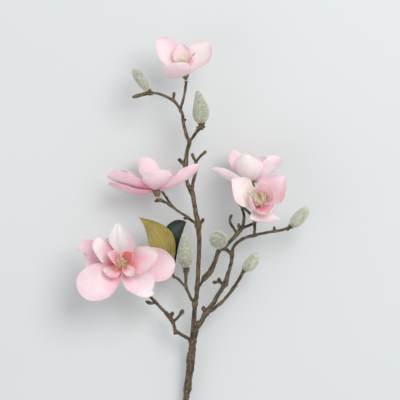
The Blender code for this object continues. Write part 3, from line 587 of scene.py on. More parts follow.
# Bark relief: long ridges that wander round the twig, soft lumps, and a raised ring at
# every leaf scar; near each place where something grows out, the twig swells.
def barkRelief(knuckles, scars):
    look = barkLook

    def relief(grain, run, angle, seed):
        long = grain * np.array([1.0, 1.0, look["ridgeLong"]])
        high = look["ridge"] * lumps(long, look["ridgeSize"], seed, 9)
        high = high + look["lump"] * lumps(grain, look["lumpSize"], seed + 1)
        finer = lumps(long * np.array([1, 1, 3]), 0.9, seed + 2, 9)
        high = high + 0.5 * look["ridge"] * finer
        for place, size in knuckles:
            high = high + size * np.exp(-((run - place) / look["knuckleReach"]) ** 2)[:, None]
        for place in scars:
            off = run[:, None] - place - look["scarTilt"] * np.cos(angle + place)[None]
            high = high + look["scarHeight"] * np.exp(-(off / look["scarWidth"]) ** 2)
        return high
    return relief


def makeBarkFinish():
    look = barkLook
    made, tree, shader = newFinish("barkFinish")
    grain = readValue(tree, "grain", "Vector")
    olive = readValue(tree, "olive")
    rust = readValue(tree, "rust")
    long = stretched(tree, grain, (1.0, 1.0, 0.22))
    streak = noiseOf(tree, long, 0.62, 5.0, 0.7)
    patch = noiseOf(tree, grain, 0.14, 3.0)
    fleck = noiseOf(tree, grain, 0.95, 3.0, 0.7)
    # Painted shade in part: the ramp and the near-black mix below darken the bark where the streak
    # noise is low, which is where the bump sinks into furrows. This is partly the bark's own dark
    # fissures and partly painted shade.
    base = colourRamp(tree, streak, [(0.4, look["darkAndFurrowShade"]), (0.5, look["brown"]),
                                     (0.6, look["mid"])])
    greenish = mathOf(tree, "MULTIPLY", spread(tree, patch, 0.4, 0.56), olive)
    base = mixColour(tree, greenish, base, look["olive"])
    reddish = mathOf(tree, "MULTIPLY", spread(tree, noiseOf(tree, grain, 0.2), 0.44, 0.58), rust)
    base = mixColour(tree, reddish, base, look["rust"])
    # Pale tan flecks where the fleck noise, which also raises the bump, is high: partly the bark's
    # own chalky flecks, partly a painted highlight.
    chalkAndHighlight = mathOf(tree, "MULTIPLY", spread(tree, fleck, 0.54, 0.66),
                   spread(tree, patch, 0.35, 0.6, 0.25, 0.85))
    base = mixColour(tree, chalkAndHighlight, base, look["tanAndHighlight"])
    # Partly painted shade: the lowest streaks, the furrows, are mixed towards near-black.
    base = mixColour(tree, spread(tree, streak, 0.5, 0.38, 0.0, 0.85), base, look["darkAndFurrowShade"])
    tree.links.new(base, shader.inputs["Base Color"])
    tree.links.new(spread(tree, streak, 0.3, 0.7, 0.62, 0.36), shader.inputs["Roughness"])
    bumpOn(tree, shader, mathOf(tree, "ADD", streak, mathOf(tree, "MULTIPLY", fleck, 0.5)), 0.9,
           0.0009)
    return made


def makeWoodFinish():
    made, tree, shader = newFinish("cutWood")
    grain = readValue(tree, "grain", "Vector")
    flat = stretched(tree, grain, (1.0, 1.0, 0.0))
    far = addNode(tree, "ShaderNodeVectorMath", {0: flat}, operation="LENGTH").outputs["Value"]
    rings = mathOf(tree, "SINE", mathOf(tree, "MULTIPLY", far, 9.0))
    tone = mathOf(tree, "ADD", mathOf(tree, "MULTIPLY", rings, 0.12), noiseOf(tree, flat, 1.5))
    wood = barkLook["wood"]
    tree.links.new(colourRamp(tree, tone, [(0.3, [c * 0.6 for c in wood]), (0.7, wood)]),
                   shader.inputs["Base Color"])
    shader.inputs["Roughness"].default_value = 0.8
    bumpOn(tree, shader, tone, 0.3, 0.0003)
    return made


def makeCupFinish():
    made, tree, shader = newFinish("cupHusk")
    grain = readValue(tree, "grain", "Vector")
    long = stretched(tree, grain, (1.0, 1.0, 0.3))
    streak = noiseOf(tree, long, 1.6, 3.0)
    far = addNode(tree, "ShaderNodeSeparateXYZ", {0: grain}).outputs["Z"]
    husk = colourRamp(tree, streak, [(0.3, (0.07, 0.055, 0.02)), (0.55, (0.20, 0.15, 0.06)),
                                     (0.75, (0.33, 0.26, 0.12))])
    pale = mathOf(tree, "MULTIPLY", spread(tree, far, 0.9, 1.4), spread(tree, far, 2.3, 1.9))
    tree.links.new(mixColour(tree, pale, husk, (0.62, 0.56, 0.42)), shader.inputs["Base Color"])
    shader.inputs["Roughness"].default_value = 0.7
    bumpOn(tree, shader, streak, 0.4, 0.0003)
    return made


# The cup is turned from its profile along the flower's axis, with three shallow lobes.
def cupShell(name, seed):
    seat, axis = seatAndAxis(name)
    profile = readRows(cupShape["rows"], np.linspace(0, len(cupShape["rows"]) - 1, 70))
    rows = np.hstack([seat + axis * profile[:, :1], profile[:, 1:]])

    def relief(grain, run, angle, seed):
        lobes = cupShape["lobeDepth"] * np.cos(cupShape["lobes"] * angle)
        return lobes * ease(run, 3, 8)[:, None] + 0.03 * lumps(grain, 2.0, seed)

    return skinAlong(rows, profile[:, 0] - profile[0, 0], cupShape["around"], relief, seed,
                     material=1)


# The collar under a bud: a short flare along the bud's axis with a wavy scaly rim.
def collarShell(name, seed, tint):
    base, tip = np.array(buds[name]["base"], float), np.array(buds[name]["tip"], float)
    axis = unit(tip - base)
    size = buds[name]["radius"] / 8
    profile = readRows(collarShape["rows"], np.linspace(0, len(collarShape["rows"]) - 1, 26))
    rows = np.hstack([base + axis * profile[:, :1], profile[:, 1:] * size])

    def relief(grain, run, angle, seed):
        rim = ease(run, run[-1] * 0.3, run[-1])[:, None]
        scales = collarShape["scaleDepth"] * np.cos(collarShape["scales"] * angle + seed)
        return rim * scales + 0.06 * lumps(grain, 1.5, seed)

    return skinAlong(rows, profile[:, 0] - profile[0, 0], collarShape["around"], relief, seed,
                     tint=tint)


def makeTwig(name, number, finishes):
    spec = twigs[name]
    look = barkLook
    route = [tuple(row) for row in spec["route"]]
    if "flower" in spec:
        seat, axis = seatAndAxis(spec["flower"])
        down, radius = look["neck"]
        route.append((*(seat + axis * down), radius))
    rows, run = evenRows(route, look["step"])
    rng = np.random.default_rng(40 + number)
    starts = [np.array(shoot[0][:3]) for shoot in spec["shoots"]]
    starts += [np.array(other["route"][0][:3]) for other in twigs.values()
               if other.get("plugs_into") == name]
    knuckles = []
    for start in starts:
        near = np.linalg.norm(rows[:, :3] - start, axis=1).argmin()
        knuckles.append((run[near], look["knuckle"] * rng.uniform(0.7, 1.2)))
    scars = np.arange(rng.uniform(4, 9), run[-1] - 3, look["scarEvery"])
    scars = scars + rng.uniform(-3.5, 3.5, len(scars))
    tint = (spec["olive"], spec["rust"])
    relief = barkRelief(knuckles, scars)
    shells = [skinAlong(rows, run, look["around"], relief, 100 + number, name == "main_stem",
                        tint=tint)]
    for count, shoot in enumerate(spec["shoots"]):
        small, way = evenRows(shoot, look["shootStep"])
        small[:, 3] *= 1 + look["flare"] * np.exp(-(way / look["flareReach"]) ** 2)
        relief = barkRelief([(way[-1] - 1, look["knob"])], [way[-1] * 0.6])
        shells.append(skinAlong(small, way, look["shootAround"], relief,
                                300 + 10 * number + count, tint=tint))
    if "flower" in spec:
        shells.append(cupShell(spec["flower"], 500 + number))
    if "bud" in spec:
        shells.append(collarShell(spec["bud"], 600 + number, tint))
    return addPiece(name + "_bark", name, shells, finishes)


# The seat is the middle of the cup's face. A petal's tip is measured from the seat, ring is
# how high on the peg it starts, and foot turns that start about the axis. Rise and lean
# are the slopes of its midline at foot and tip, cup bends it across its width, twist turns
# its face, widest is where its width is greatest, and powers or pointed shape its end.
# Left and right scale the outline at the stations below, left being the clockwise side;
# slant pushes one corner of the tip out, curl rolls the rims, ruffle waves them, crease
# folds the tip along the midline, and tipLift bends the tip over. Tint overrides the
# shares in petalTints.
stations = [0.0, 0.25, 0.5, 0.7, 0.85, 0.95, 1.0]
roundEnd, pointedEnd = (2.0, 0.5), (1.7, 0.8)
rowCrowding = 1.5      # rows of a blade lie closer together towards its tip
rimCrowding = 0.43     # columns lie closer together towards its rims, up to 0.5

leftFlower = {
    "seat": (-84.5, -72.5, 52), "axis": (-0.08, 0.3, 1),
    "petals": {
        "outer_petal_1": {
            "tip": (57.5, 1, 11), "width": 41, "rise": 8, "lean": 8, "ring": 0.8, "cup": 35,
            "twist": (8, 12), "foot": 6, "powers": (3.2, 0.5), "curl": 12,
            "left": [1, 1, 1, 0.98, 0.95, 0.95, 1], "right": [1, 1, 1, 0.95, 0.85, 0.8, 1],
            "tint": {"heart": 0.42, "left": 0.5, "right": 0.35, "tip": 0.22},
        },
        "outer_petal_2": {
            "tip": (33, -27.5, 18), "width": 31, "rise": 24, "lean": -5, "ring": 1.4, "cup": 35,
            "twist": (10, 10), "foot": -6, "powers": (3.6, 0.45), "widest": 0.5, "slant": -2.5,
            "curl": 20, "tipLift": -1.5,
            "left": [1, 1.1, 1.12, 1.05, 0.98, 1, 1], "right": [1, 1, 1, 1.05, 1.1, 1.08, 1],
            "tint": {"heart": 0.26, "left": 0.4, "right": 0.12, "tip": 0.05},
        },
        "outer_petal_3": {
            "tip": (-46, -30.5, 13), "width": 42, "rise": 30, "lean": -10, "ring": 1.5, "cup": 30,
            "twist": (-12, -12), "foot": 8, "widest": 0.58, "powers": (2.3, 0.5), "curl": 10,
            "left": [1, 1, 1, 1.02, 1.05, 1, 1], "right": [1, 1, 1.02, 1, 0.95, 0.95, 1],
            "ruffle": 0.8,
            "tint": {"heart": 0.24, "left": 0.4, "right": 0.45, "tip": 0.3, "foot": 0.9},
        },
        "outer_petal_4": {
            "tip": (-45, 15.5, 6), "width": 34, "rise": 8, "lean": 0, "ring": 0.8, "cup": 26,
            "twist": (-6, -12), "foot": -8, "powers": (3.6, 0.45), "slant": -6, "curl": 14,
            "left": [1, 1, 1, 1, 1, 1.05, 1], "right": [1, 1.25, 1.45, 1.5, 1.4, 1.2, 1],
            "tint": {"heart": 0.5, "left": 0.55, "right": 0.3, "tip": 0.3, "foot": 0.95},
        },
        "middle_petal_1": {
            "tip": (39, 12, 26), "width": 29, "rise": 34, "lean": 20, "ring": 2.9, "cup": 38,
            "powers": (2.6, 0.5), "curl": 32, "left": [1, 1.2, 1.35, 1.25, 1.05, 1, 1],
            "right": [1, 1.05, 1.05, 1, 1, 1, 1],
            "tint": {"heart": 0.36, "left": 0.24, "right": 0.0, "tip": 0.04, "coral": 0.08},
        },
        "middle_petal_2": {
            "tip": (-4.7, 49, 33), "width": 34, "rise": 45, "lean": 20, "ring": 3.4, "cup": 42,
            "powers": (1.4, 0.9), "widest": 0.5, "twist": (0, 5), "crease": (-2.2, 0.8),
            "left": [1, 1, 1.08, 1.1, 1.05, 1, 1], "right": [1, 0.5, 0.62, 0.98, 1.08, 1, 1],
            "tint": {"heart": 0.0, "left": 0.42, "right": 0.04, "tip": 0.1, "foot": 0.12,
                     "throat": 0.1},
        },
        "middle_petal_3": {
            "tip": (-22.5, 30.5, 24), "width": 33, "rise": 26, "lean": 19, "ring": 2.2, "cup": 22,
            "twist": (0, 5), "powers": (4.5, 0.36), "slant": 4.5, "curl": 14,
            "left": [1, 1, 1, 1.05, 1.1, 1.1, 1], "right": [1, 1, 1.05, 1.05, 1.05, 1.05, 1],
            "tint": {"heart": 0.45, "left": 0.32, "right": 0.0, "tip": 0.12, "foot": 0.85},
        },
        "inner_petal_1": {
            "tip": (10.5, 15, 28), "width": 15, "rise": 66, "lean": 60, "ring": 4.9, "cup": 45,
            "twist": (14, 14), "powers": (4, 0.4),
            "tint": {"heart": 0.7, "left": 0.6, "right": 0.6, "tip": 0.5, "coral": 0.9},
        },
        "inner_petal_2": {
            "tip": (-16, 14.5, 28), "width": 18, "rise": 62, "lean": 45, "ring": 4.9, "cup": 60,
            "twist": (14, 14), "foot": 3,
            "tint": {"heart": 0.6, "left": 0.3, "right": 0.15, "tip": 0.3},
        },
        "inner_petal_3": {
            "tip": (-16, -10, 20), "width": 22, "rise": 38, "lean": 118, "ring": 4.9,
            "cup": 45, "twist": (14, 14), "foot": 4, "curl": 15,
            "tint": {"heart": 0.35, "left": 0.05, "right": 0.0, "tip": 0.0, "back": 0.6},
        },
        "inner_petal_4": {
            "tip": (13.5, -8, 25), "width": 13, "rise": 62, "lean": 70, "ring": 4.9, "cup": 50,
            "twist": (14, 14), "foot": -16,
            "tint": {"heart": 0.3, "left": 0.12, "right": 0.2, "tip": 0.15},
        },
    },
}

middleFlower = {
    "seat": (-47.5, 10, 44), "axis": (-0.1, 1, -0.1),
    "petals": {
        "outer_petal_1": {
            "tip": (4, 22.5, 29), "width": 36, "rise": 2, "lean": 75, "ring": 0.9, "cup": 52,
            "foot": -18, "powers": (3.4, 0.45), "widest": 0.5,
            "left": [1, 1.1, 1.05, 1, 0.95, 0.95, 1], "ruffle": 1.0,
            "tint": {"back": 0.3, "backFoot": 0.72},
        },
        "outer_petal_2": {
            "tip": (-54, 7, -9), "width": 32, "rise": -26, "lean": 32, "ring": 0.9, "cup": 45,
            "twist": (3, 4), "powers": (2.2, 0.6),
            "tint": {"heart": 0.3, "left": 0.1, "tip": 0.0, "back": 0.42, "backFoot": 0.72},
        },
        "outer_petal_3": {
            "tip": (11, 25, -43.5), "width": 34, "rise": 15, "lean": 45, "ring": 0.9, "cup": 50,
            "ruffle": 1.3,
            "tint": {"heart": 0.15, "left": 0.1, "right": 0.1, "tip": 0.05, "back": 0.2},
        },
        "outer_petal_4": {
            "tip": (47, 29, 21), "width": 25, "rise": 0, "lean": 45, "ring": 0.9, "cup": 75,
            "twist": (-5, -30), "foot": 8, "powers": (2.0, 0.62),
            "right": [1, 0.5, 0.62, 0.85, 1, 1, 1],
            "tint": {"heart": 0.5, "left": 0.4, "right": 0.5, "back": 0.33, "backFoot": 0.6},
        },
        "middle_petal_1": {
            "tip": (-54, 16.5, 8), "width": 32, "rise": 2, "lean": 25, "ring": 2.3, "cup": 42,
            "twist": (8, 24), "powers": (2.6, 0.5),
            "left": [1, 0.9, 0.85, 0.85, 0.9, 0.95, 1], "right": [1, 1.05, 1, 0.92, 0.88, 0.9, 1],
            "tint": {"heart": 0.55, "left": 0.35, "right": 0.6, "tip": 0.2, "back": 0.34,
                     "backFoot": 0.85},
        },
        "middle_petal_2": {
            "tip": (-41.5, 23, -30), "width": 15, "rise": 25, "lean": 20, "ring": 3.4, "cup": 50,
            "pointed": 1, "tint": {"heart": 0.1, "left": 0.1, "right": 0.1, "tip": 0.0},
        },
        "inner_petal_1": {
            "tip": (-16, 37, -17), "width": 35, "rise": 42, "lean": 65, "ring": 4.9, "cup": 45,
            "left": [1, 1, 0.95, 0.88, 0.85, 0.9, 1], "right": [1, 1.35, 1.25, 1.08, 0.98, 0.95, 1],
            "tint": {"heart": 0.28, "left": 0.3, "right": 0.3, "tip": 0.2, "foot": 0.75,
                     "throat": 0.3, "back": 0.22, "backFoot": 0.6},
        },
    },
}

topFlower = {
    "seat": (-16.5, 138, 60), "axis": (-0.15, 0.75, 0.6),
    "petals": {
        "outer_petal_1": {
            "tip": (-9, 10, 31), "width": 33, "rise": -15, "lean": 95, "ring": 0.9, "cup": 24,
            "twist": (30, 14), "foot": -25, "powers": (3.2, 0.45), "widest": 0.5,
            "left": [1, 1.05, 1, 1, 1, 1, 1], "right": [1, 1, 0.96, 0.96, 0.98, 1, 1],
            "tint": {"back": 0.24, "backFoot": 0.42},
        },
        "outer_petal_2": {
            "tip": (-29.5, 38, -2), "width": 30, "rise": 26, "lean": 35, "ring": 0.9, "cup": 45,
            "twist": (-8, -16), "powers": (1.9, 0.62), "curl": 15,
            "tint": {"heart": 0.16, "left": 0.4, "right": 0.18, "tip": 0.28, "foot": 0.1,
                     "throat": 0.05},
        },
        "outer_petal_3": {
            "tip": (27, 33.5, 4), "width": 32, "rise": 15, "lean": 38, "ring": 0.9, "cup": 42,
            "twist": (10, 20), "powers": (2.0, 0.58), "curl": 12,
            "left": [1, 0.85, 1.05, 1.2, 1.2, 1.1, 1], "right": [1, 1, 1.05, 1.05, 1.02, 1, 1],
            "tint": {"heart": 0.03, "left": 0.42, "right": 0.1, "tip": 0.28, "foot": 0.05,
                     "throat": 0.02},
        },
        "inner_petal_1": {
            "tip": (-4, 33, 6), "width": 23, "rise": 55, "lean": 50, "ring": 2.4, "cup": 45,
            "pointed": 1,
            "tint": {"heart": 0.2, "left": 0.3, "right": 0.3, "tip": 0.42, "foot": 0.3,
                     "throat": 0.1},
        },
        "inner_petal_2": {
            "tip": (12, 20.5, 18.5), "width": 15, "rise": 55, "lean": 75, "ring": 3.8, "cup": 60,
            "foot": -20,
            "tint": {"heart": 0.2, "left": 0.25, "right": 0.25, "tip": 0.25, "coral": 0.25,
                     "back": 0.25},
        },
    },
}

backFlower = {
    "seat": (58, 20.5, 45), "axis": (-0.05, 1, 0.05),
    "petals": {
        "outer_petal_1": {
            "tip": (-46.5, 13.5, 2), "width": 27, "rise": -28, "lean": 28, "ring": 0.9, "cup": 50,
            "twist": (14, 30), "powers": (1.8, 0.7),
            "left": [1, 0.9, 0.85, 0.85, 0.9, 1, 1], "right": [1, 1.1, 1, 0.9, 0.9, 1, 1],
            "tint": {"back": 0.16, "backFoot": 0.2},
        },
        "outer_petal_2": {
            "tip": (-9.5, 29, 25), "width": 38, "rise": 2, "lean": 80, "ring": 0.9, "cup": 52,
            "powers": (2.2, 0.6), "left": [1.2, 1.15, 1.05, 1, 0.92, 0.8, 1],
            "right": [1.2, 1.15, 1.05, 0.96, 0.8, 0.7, 1],
            "tint": {"back": 0.12, "backFoot": 0.22},
        },
        "outer_petal_3": {
            "tip": (31, 25, 4), "width": 34, "rise": 0, "lean": 40, "ring": 0.9, "cup": 50,
            "twist": (-18, -40), "powers": (2.4, 0.52), "ruffle": 1.2,
            "left": [1, 1.1, 1.05, 0.98, 0.9, 0.9, 1], "right": [1, 0.95, 1, 1.15, 1.3, 1.3, 1.1],
            "tint": {"back": 0.2, "backFoot": 0.3, "heart": 0.3},
        },
        "outer_petal_4": {
            "tip": (6, 27, -44.5), "width": 34, "rise": 15, "lean": 45, "ring": 0.9, "cup": 50,
        },
        "inner_petal_1": {
            "tip": (-22, 35.5, -18), "width": 32, "rise": 20, "lean": 78, "ring": 2.8, "cup": 35,
            "powers": (1.8, 0.6), "left": [1, 1, 0.95, 0.85, 0.8, 0.85, 1],
            "right": [1, 1.3, 1.25, 1.12, 0.98, 0.9, 1],
            "tint": {"heart": 0.3, "back": 0.25, "tip": 0.25},
        },
    },
}

rightFlower = {
    "seat": (66, -5.5, 60), "axis": (0.05, 0.3, 0.95),
    "petals": {
        "outer_petal_1": {
            "tip": (-31.8, 28, 16), "width": 32, "rise": 20, "lean": 5, "ring": 0.9, "cup": 34,
            "widest": 0.62, "foot": 14, "powers": (1.35, 0.85), "curl": 10,
            "left": [1, 0.85, 0.85, 0.95, 1, 1, 1], "right": [1, 1.2, 1.22, 1.12, 1, 1, 1],
            "tint": {"heart": 0.02, "left": 0.28, "right": 0.3, "tip": 0.3, "foot": 0.1,
                     "throat": 0.05},
        },
        "outer_petal_2": {
            "tip": (25.8, 30.8, 14), "width": 37, "rise": 20, "lean": 5, "ring": 0.9, "cup": 38,
            "widest": 0.55, "powers": (1.5, 0.8), "curl": 16,
            "tint": {"heart": 0.25, "left": 0.62, "right": 0.3, "tip": 0.42, "foot": 0.3,
                     "throat": 0.1},
        },
        "outer_petal_3": {
            "tip": (-1, -17, 20), "width": 32, "rise": 8, "lean": 122, "ring": 0.9, "cup": 28,
            "powers": (5, 0.35), "left": [1, 0.85, 0.72, 0.7, 0.7, 0.7, 0.8],
            "right": [1, 1.15, 1.3, 1.35, 1.35, 1.35, 1.2],
            "tint": {"heart": 0.0, "left": 0.02, "right": 0.02, "tip": 0.02, "foot": 0.2,
                     "throat": 0.05, "back": 0.45},
        },
        "inner_petal_1": {
            "tip": (7, 22, 24), "width": 27, "rise": 45, "lean": 35, "ring": 2.4, "cup": 55,
            "powers": (2.6, 0.5),
            "tint": {"heart": 0.28, "left": 0.4, "right": 0.3, "tip": 0.4, "foot": 0.2,
                     "throat": 0.2, "coral": 0.18},
        },
        "inner_petal_2": {
            "tip": (-9.5, 4.5, 26), "width": 22, "rise": 8, "lean": 138, "ring": 3.6, "cup": 45,
            "tint": {"back": 0.42, "throat": 0.3},
        },
        "inner_petal_3": {
            "tip": (9, -9, 22), "width": 28, "rise": 12, "lean": 95, "ring": 3.6, "cup": 70,
            "tint": {"heart": 0.3, "left": 0.35, "right": 0.35, "back": 0.42, "throat": 0.3},
        },
    },
}

flowers = {"left_flower": leftFlower, "middle_flower": middleFlower, "top_flower": topFlower,
           "back_flower": backFlower, "right_flower": rightFlower}

petalLook = {
    "rows": 46, "columns": 29,
    "thick": 0.7, "rimShare": 0.45,
    "footWidth": 5.2, "footSwell": 1.0, "seatRadius": 3.1,
    "footPull": 0.38, "tipPull": 0.34,
    "ruffle": 0.5, "waves": 2.3,
    "ivory": (0.93, 0.86, 0.82), "pale": (0.92, 0.64, 0.70), "pink": (0.86, 0.36, 0.46),
    "deep": (0.62, 0.10, 0.17), "coral": (0.84, 0.19, 0.15),
}


def seatAndAxis(name):
    return np.array(flowers[name]["seat"], float), unit(flowers[name]["axis"])


# A blade's half width from foot to tip, as a share of the greatest: a sine up to the
# widest place and (1 - u ^ first power) ^ second power past it.
def bladeOutline(t, widest, claw, powers, swell):
    grow = np.sin(0.5 * np.pi * np.clip(t / widest, 0, 1)) ** swell
    past = np.clip((t - widest) / (1 - widest), 0, 1)
    return np.where(t < widest, claw + (1 - claw) * grow,
                    (1 - past ** powers[0]) ** powers[1])


# One sheet of a blade on a grid. Its midline is a cubic curve from foot to tip. At a share
# s of the half width the sheet has turned by cup * s, plus a curl that grows with the
# fifth power of s, and the turned steps are summed outwards from the midline. Ruffles are
# sines along the rims; the crease is a bell across the midline that grows to the tip.
def bladeSheet(foot, start, tip, finish, across, blade, look):
    rows, columns = look["rows"], look["columns"]
    span = np.linalg.norm(tip - foot)
    handles = np.array([foot, foot + start * span * look["footPull"],
                        tip - finish * span * look["tipPull"], tip])
    t = 1 - (1 - np.linspace(0, 1, rows)) ** rowCrowding
    s = np.sin(np.linspace(-rimCrowding, rimCrowding, columns) * np.pi)
    s = s / math.sin(rimCrowding * math.pi)
    weights = np.array([(1 - t) ** 3, 3 * t * (1 - t) ** 2, 3 * t ** 2 * (1 - t), t ** 3]).T
    middle = weights @ handles
    slopes = np.array([(1 - t) ** 2, 2 * t * (1 - t), t ** 2]).T
    along = unit(slopes @ np.diff(handles, axis=0))
    side = across[0] * (1 - t[:, None]) + across[1] * t[:, None]
    side = unit(side - along * (side * along).sum(axis=1, keepdims=True))
    face = np.cross(along, side)
    first, last = blade.get("twist", (0, 0))
    turn = np.radians(first + (last - first) * t)[:, None]
    side, face = (side * np.cos(turn) + face * np.sin(turn),
                  face * np.cos(turn) - side * np.sin(turn))

    powers = pointedEnd if blade.get("pointed") else roundEnd
    share = bladeOutline(t, blade.get("widest", 0.6), look["footWidth"] / blade["width"],
                         blade.get("powers", powers), look["footSwell"])
    half = np.maximum(blade["width"] / 2 * share, 0.4)
    place = np.interp(t, stations, np.arange(len(stations)))
    left, right = (readRows([(v,) for v in blade.get(key, [1] * len(stations))], place)
                   for key in ("left", "right"))
    half = half[:, None] * np.where(s[None] < 0, left, right)

    cup = math.radians(blade["cup"])
    curl = math.radians(blade.get("curl", 0)) * ease(t, 0.25, 0.8)[:, None]
    turned = cup * s[None] + curl * np.sign(s) * np.abs(s) ** 5
    mid = (turned[:, 1:] + turned[:, :-1]) / 2
    centre = columns // 2
    over, lift = (np.hstack([np.zeros((rows, 1)), np.cumsum(part * np.diff(s), axis=1)])
                  for part in (np.cos(mid), np.sin(mid)))
    over, lift = ((part - part[:, centre:centre + 1]) * half for part in (over, lift))

    wave = blade.get("ruffle", look["ruffle"])
    swing = np.where(s < 0, 0.0, 1.9) + blade["width"] * 1.7   # differs by rim and by petal
    rim = np.abs(s) ** 2.5 * ease(t, 0.2, 0.7)[:, None]
    turns = 2 * np.pi * look["waves"] * t[:, None]
    lift = lift + wave * rim * (np.sin(turns + swing) + 0.35 * np.sin(2.6 * turns + 2.2 * swing))
    depth, reach = blade.get("crease", (0, 0.5))
    lift = lift - depth * np.exp(-(s / 0.16) ** 2) * ease(t, 1 - reach, 1)[:, None]
    lift = lift + blade.get("tipLift", 0) * ease(t, 0.7, 1.0)[:, None] ** 1.5
    slant = blade.get("slant", 0) * s * ease(t, 0.45, 1.0)[:, None]
    sheet = (middle[:, None] + side[:, None] * over[..., None] + face[:, None] * lift[..., None]
             + along[:, None] * slant[..., None])
    return sheet, t, s


# A sheet gets its thickness from Solidify, less towards the rims; the face that the
# blade's inner side shows has the first finish and the back has the second.
def addBlade(name, node, sheet, t, s, look, values, finishes):
    rows, columns = sheet.shape[:2]
    faces, down, over = gridFaces(rows, columns, False)
    mapAt = np.stack([(s[over] + 1) / 2, t[down]], axis=-1)
    part = {"points": sheet.reshape(-1, 3), "faces": faces, "map": mapAt, "material": 0,
            "values": values}
    thing = addPiece(name, node, [part], finishes)
    edge = np.maximum(np.abs(s)[None] ** 6, t[:, None] ** 14)
    weight = (1 - (1 - look["rimShare"]) * edge).ravel()
    group = thing.vertex_groups.new(name="thickness")
    for level in np.unique(np.round(weight, 2)):
        members = np.flatnonzero(np.round(weight, 2) == level)
        group.add(members.tolist(), float(level), "REPLACE")
    solid = thing.modifiers.new("thickness", "SOLIDIFY")
    solid.thickness = look["thick"] * mm
    solid.offset = 0
    solid.vertex_group = "thickness"
    solid.material_offset = 1
    solid.material_offset_rim = 1
    return thing


# How much pink a petal shows: heart in the middle, left and right towards the rims, tip
# and foot towards its ends. The deeper pink at the foot is partly the petal's own and
# partly painted shade where the petals crowd round the centre; throat is the coral at the
# foot of the inner face.
petalTints = {
    "outer": {"heart": 0.22, "left": 0.38, "right": 0.38, "tip": 0.42, "foot": 0.45, "throat": 0.35,
              "back": 0.32, "backFoot": 0.5, "coral": 0},
    "middle": {"heart": 0.42, "left": 0.3, "right": 0.3, "tip": 0.38, "foot": 0.7, "throat": 0.7,
               "back": 0.3, "backFoot": 0.55, "coral": 0},
    "inner": {"heart": 0.5, "left": 0.36, "right": 0.36, "tip": 0.34, "foot": 0.85, "throat": 1.0,
              "back": 0.42, "backFoot": 0.6, "coral": 0},
}


# The tint is a weighted sum of those shares: rims by |s| squared, tip by t to the fourth,
# foot by (1 - t) cubed, and the throat fades with the square of the way up.
def petalTint(tint, t, s):
    t, s = t[:, None], s[None]
    rim = np.abs(s) ** 2.2 * ease(t, 0.1, 0.6)
    side = np.where(s < 0, tint["left"], tint["right"])
    front = tint["heart"] + (side - tint["heart"]) * rim
    front = front + (tint["tip"] - front) * ease(t, 0.62, 1.0) * 0.8
    # Partly painted shade: the inner face deepens towards crimson at its foot.
    front = front + (tint["foot"] - front) * (1 - ease(t, 0.0, 0.5))
    back = tint["back"] + (tint["backFoot"] - tint["back"]) * (1 - ease(t, 0.0, 0.6))
    throat = tint["throat"] * np.exp(-(t / 0.34) ** 2) * (1 - 0.35 * np.abs(s))
    throat = throat + tint["coral"]
    return {"blush": front + 0 * s, "backBlush": back + 0.12 * rim + 0 * s, "throat": throat}


def makePetalFinish(name, blushName, withThroat):
    look = petalLook
    made, tree, shader = newFinish(name)
    blush = readValue(tree, blushName)
    flat = addNode(tree, "ShaderNodeUVMap", uv_map="shapeMap").outputs["UV"]
    place = objectPlace(tree)
    # Veins: fine waves across the petal that wander and fork a little along it.
    wide = stretched(tree, flat, (26.0, 1.4, 0.0))
    vein = addNode(tree, "ShaderNodeTexNoise", {"Vector": wide, "Scale": 1.0, "Detail": 3.0,
                                               "Distortion": 0.6}).outputs["Fac"]
    cloud = noiseOf(tree, place, 90.0, 2.0)
    weave = noiseOf(tree, place, 1800.0, 1.0)
    tone = mathOf(tree, "ADD", blush, spread(tree, vein, 0.3, 0.7, -0.06, 0.06))
    tone = mathOf(tree, "ADD", tone, spread(tree, cloud, 0.35, 0.65, -0.07, 0.07))
    base = colourRamp(tree, tone, [(0.0, look["ivory"]), (0.38, look["pale"]),
                                   (0.72, look["pink"]), (1.0, look["deep"])])
    if withThroat:
        throat = readValue(tree, "throat")
        share = mathOf(tree, "MULTIPLY", throat, spread(tree, vein, 0.3, 0.65, 0.75, 1.15),
                       True)
        base = mixColour(tree, share, base, look["coral"])
    tree.links.new(base, shader.inputs["Base Color"])
    tree.links.new(spread(tree, vein, 0.3, 0.7, 0.5, 0.62), shader.inputs["Roughness"])
    setInputs(shader, {"Subsurface Weight": 0.3, "Subsurface Radius": (1.0, 0.45, 0.4),
                       "Subsurface Scale": 0.003, "Sheen Weight": 0.15, "Sheen Roughness": 0.4})
    height = mathOf(tree, "ADD", vein, mathOf(tree, "MULTIPLY", weave, 0.35))
    bumpOn(tree, shader, height, 0.35, 0.00025)
    return made


def makePetal(flower, petal, finishes):
    seat, axis = seatAndAxis(flower)
    blade = flowers[flower]["petals"][petal]
    look = petalLook
    reach = np.array(blade["tip"], float)
    out = unit(reach - axis * (reach @ axis))
    turn = math.radians(blade.get("foot", 0))
    footOut = out * math.cos(turn) + np.cross(axis, out) * math.sin(turn)
    rise, lean = math.radians(blade["rise"]), math.radians(blade["lean"])
    foot = seat + footOut * look["seatRadius"] + axis * blade["ring"]
    start = footOut * math.cos(rise) + axis * math.sin(rise)
    finish = out * math.cos(lean) + axis * math.sin(lean)
    across = [np.cross(axis, footOut), np.cross(axis, out)]
    sheet, t, s = bladeSheet(foot, start, seat + reach, finish, across, blade, look)
    family = petal.split("_")[0]
    tint = {**petalTints[family], **blade.get("tint", {})}
    node = f"{flower}_{petal}"
    return addBlade(node + "_blade", node, sheet, t, s, look, petalTint(tint, t, s),
                    finishes)


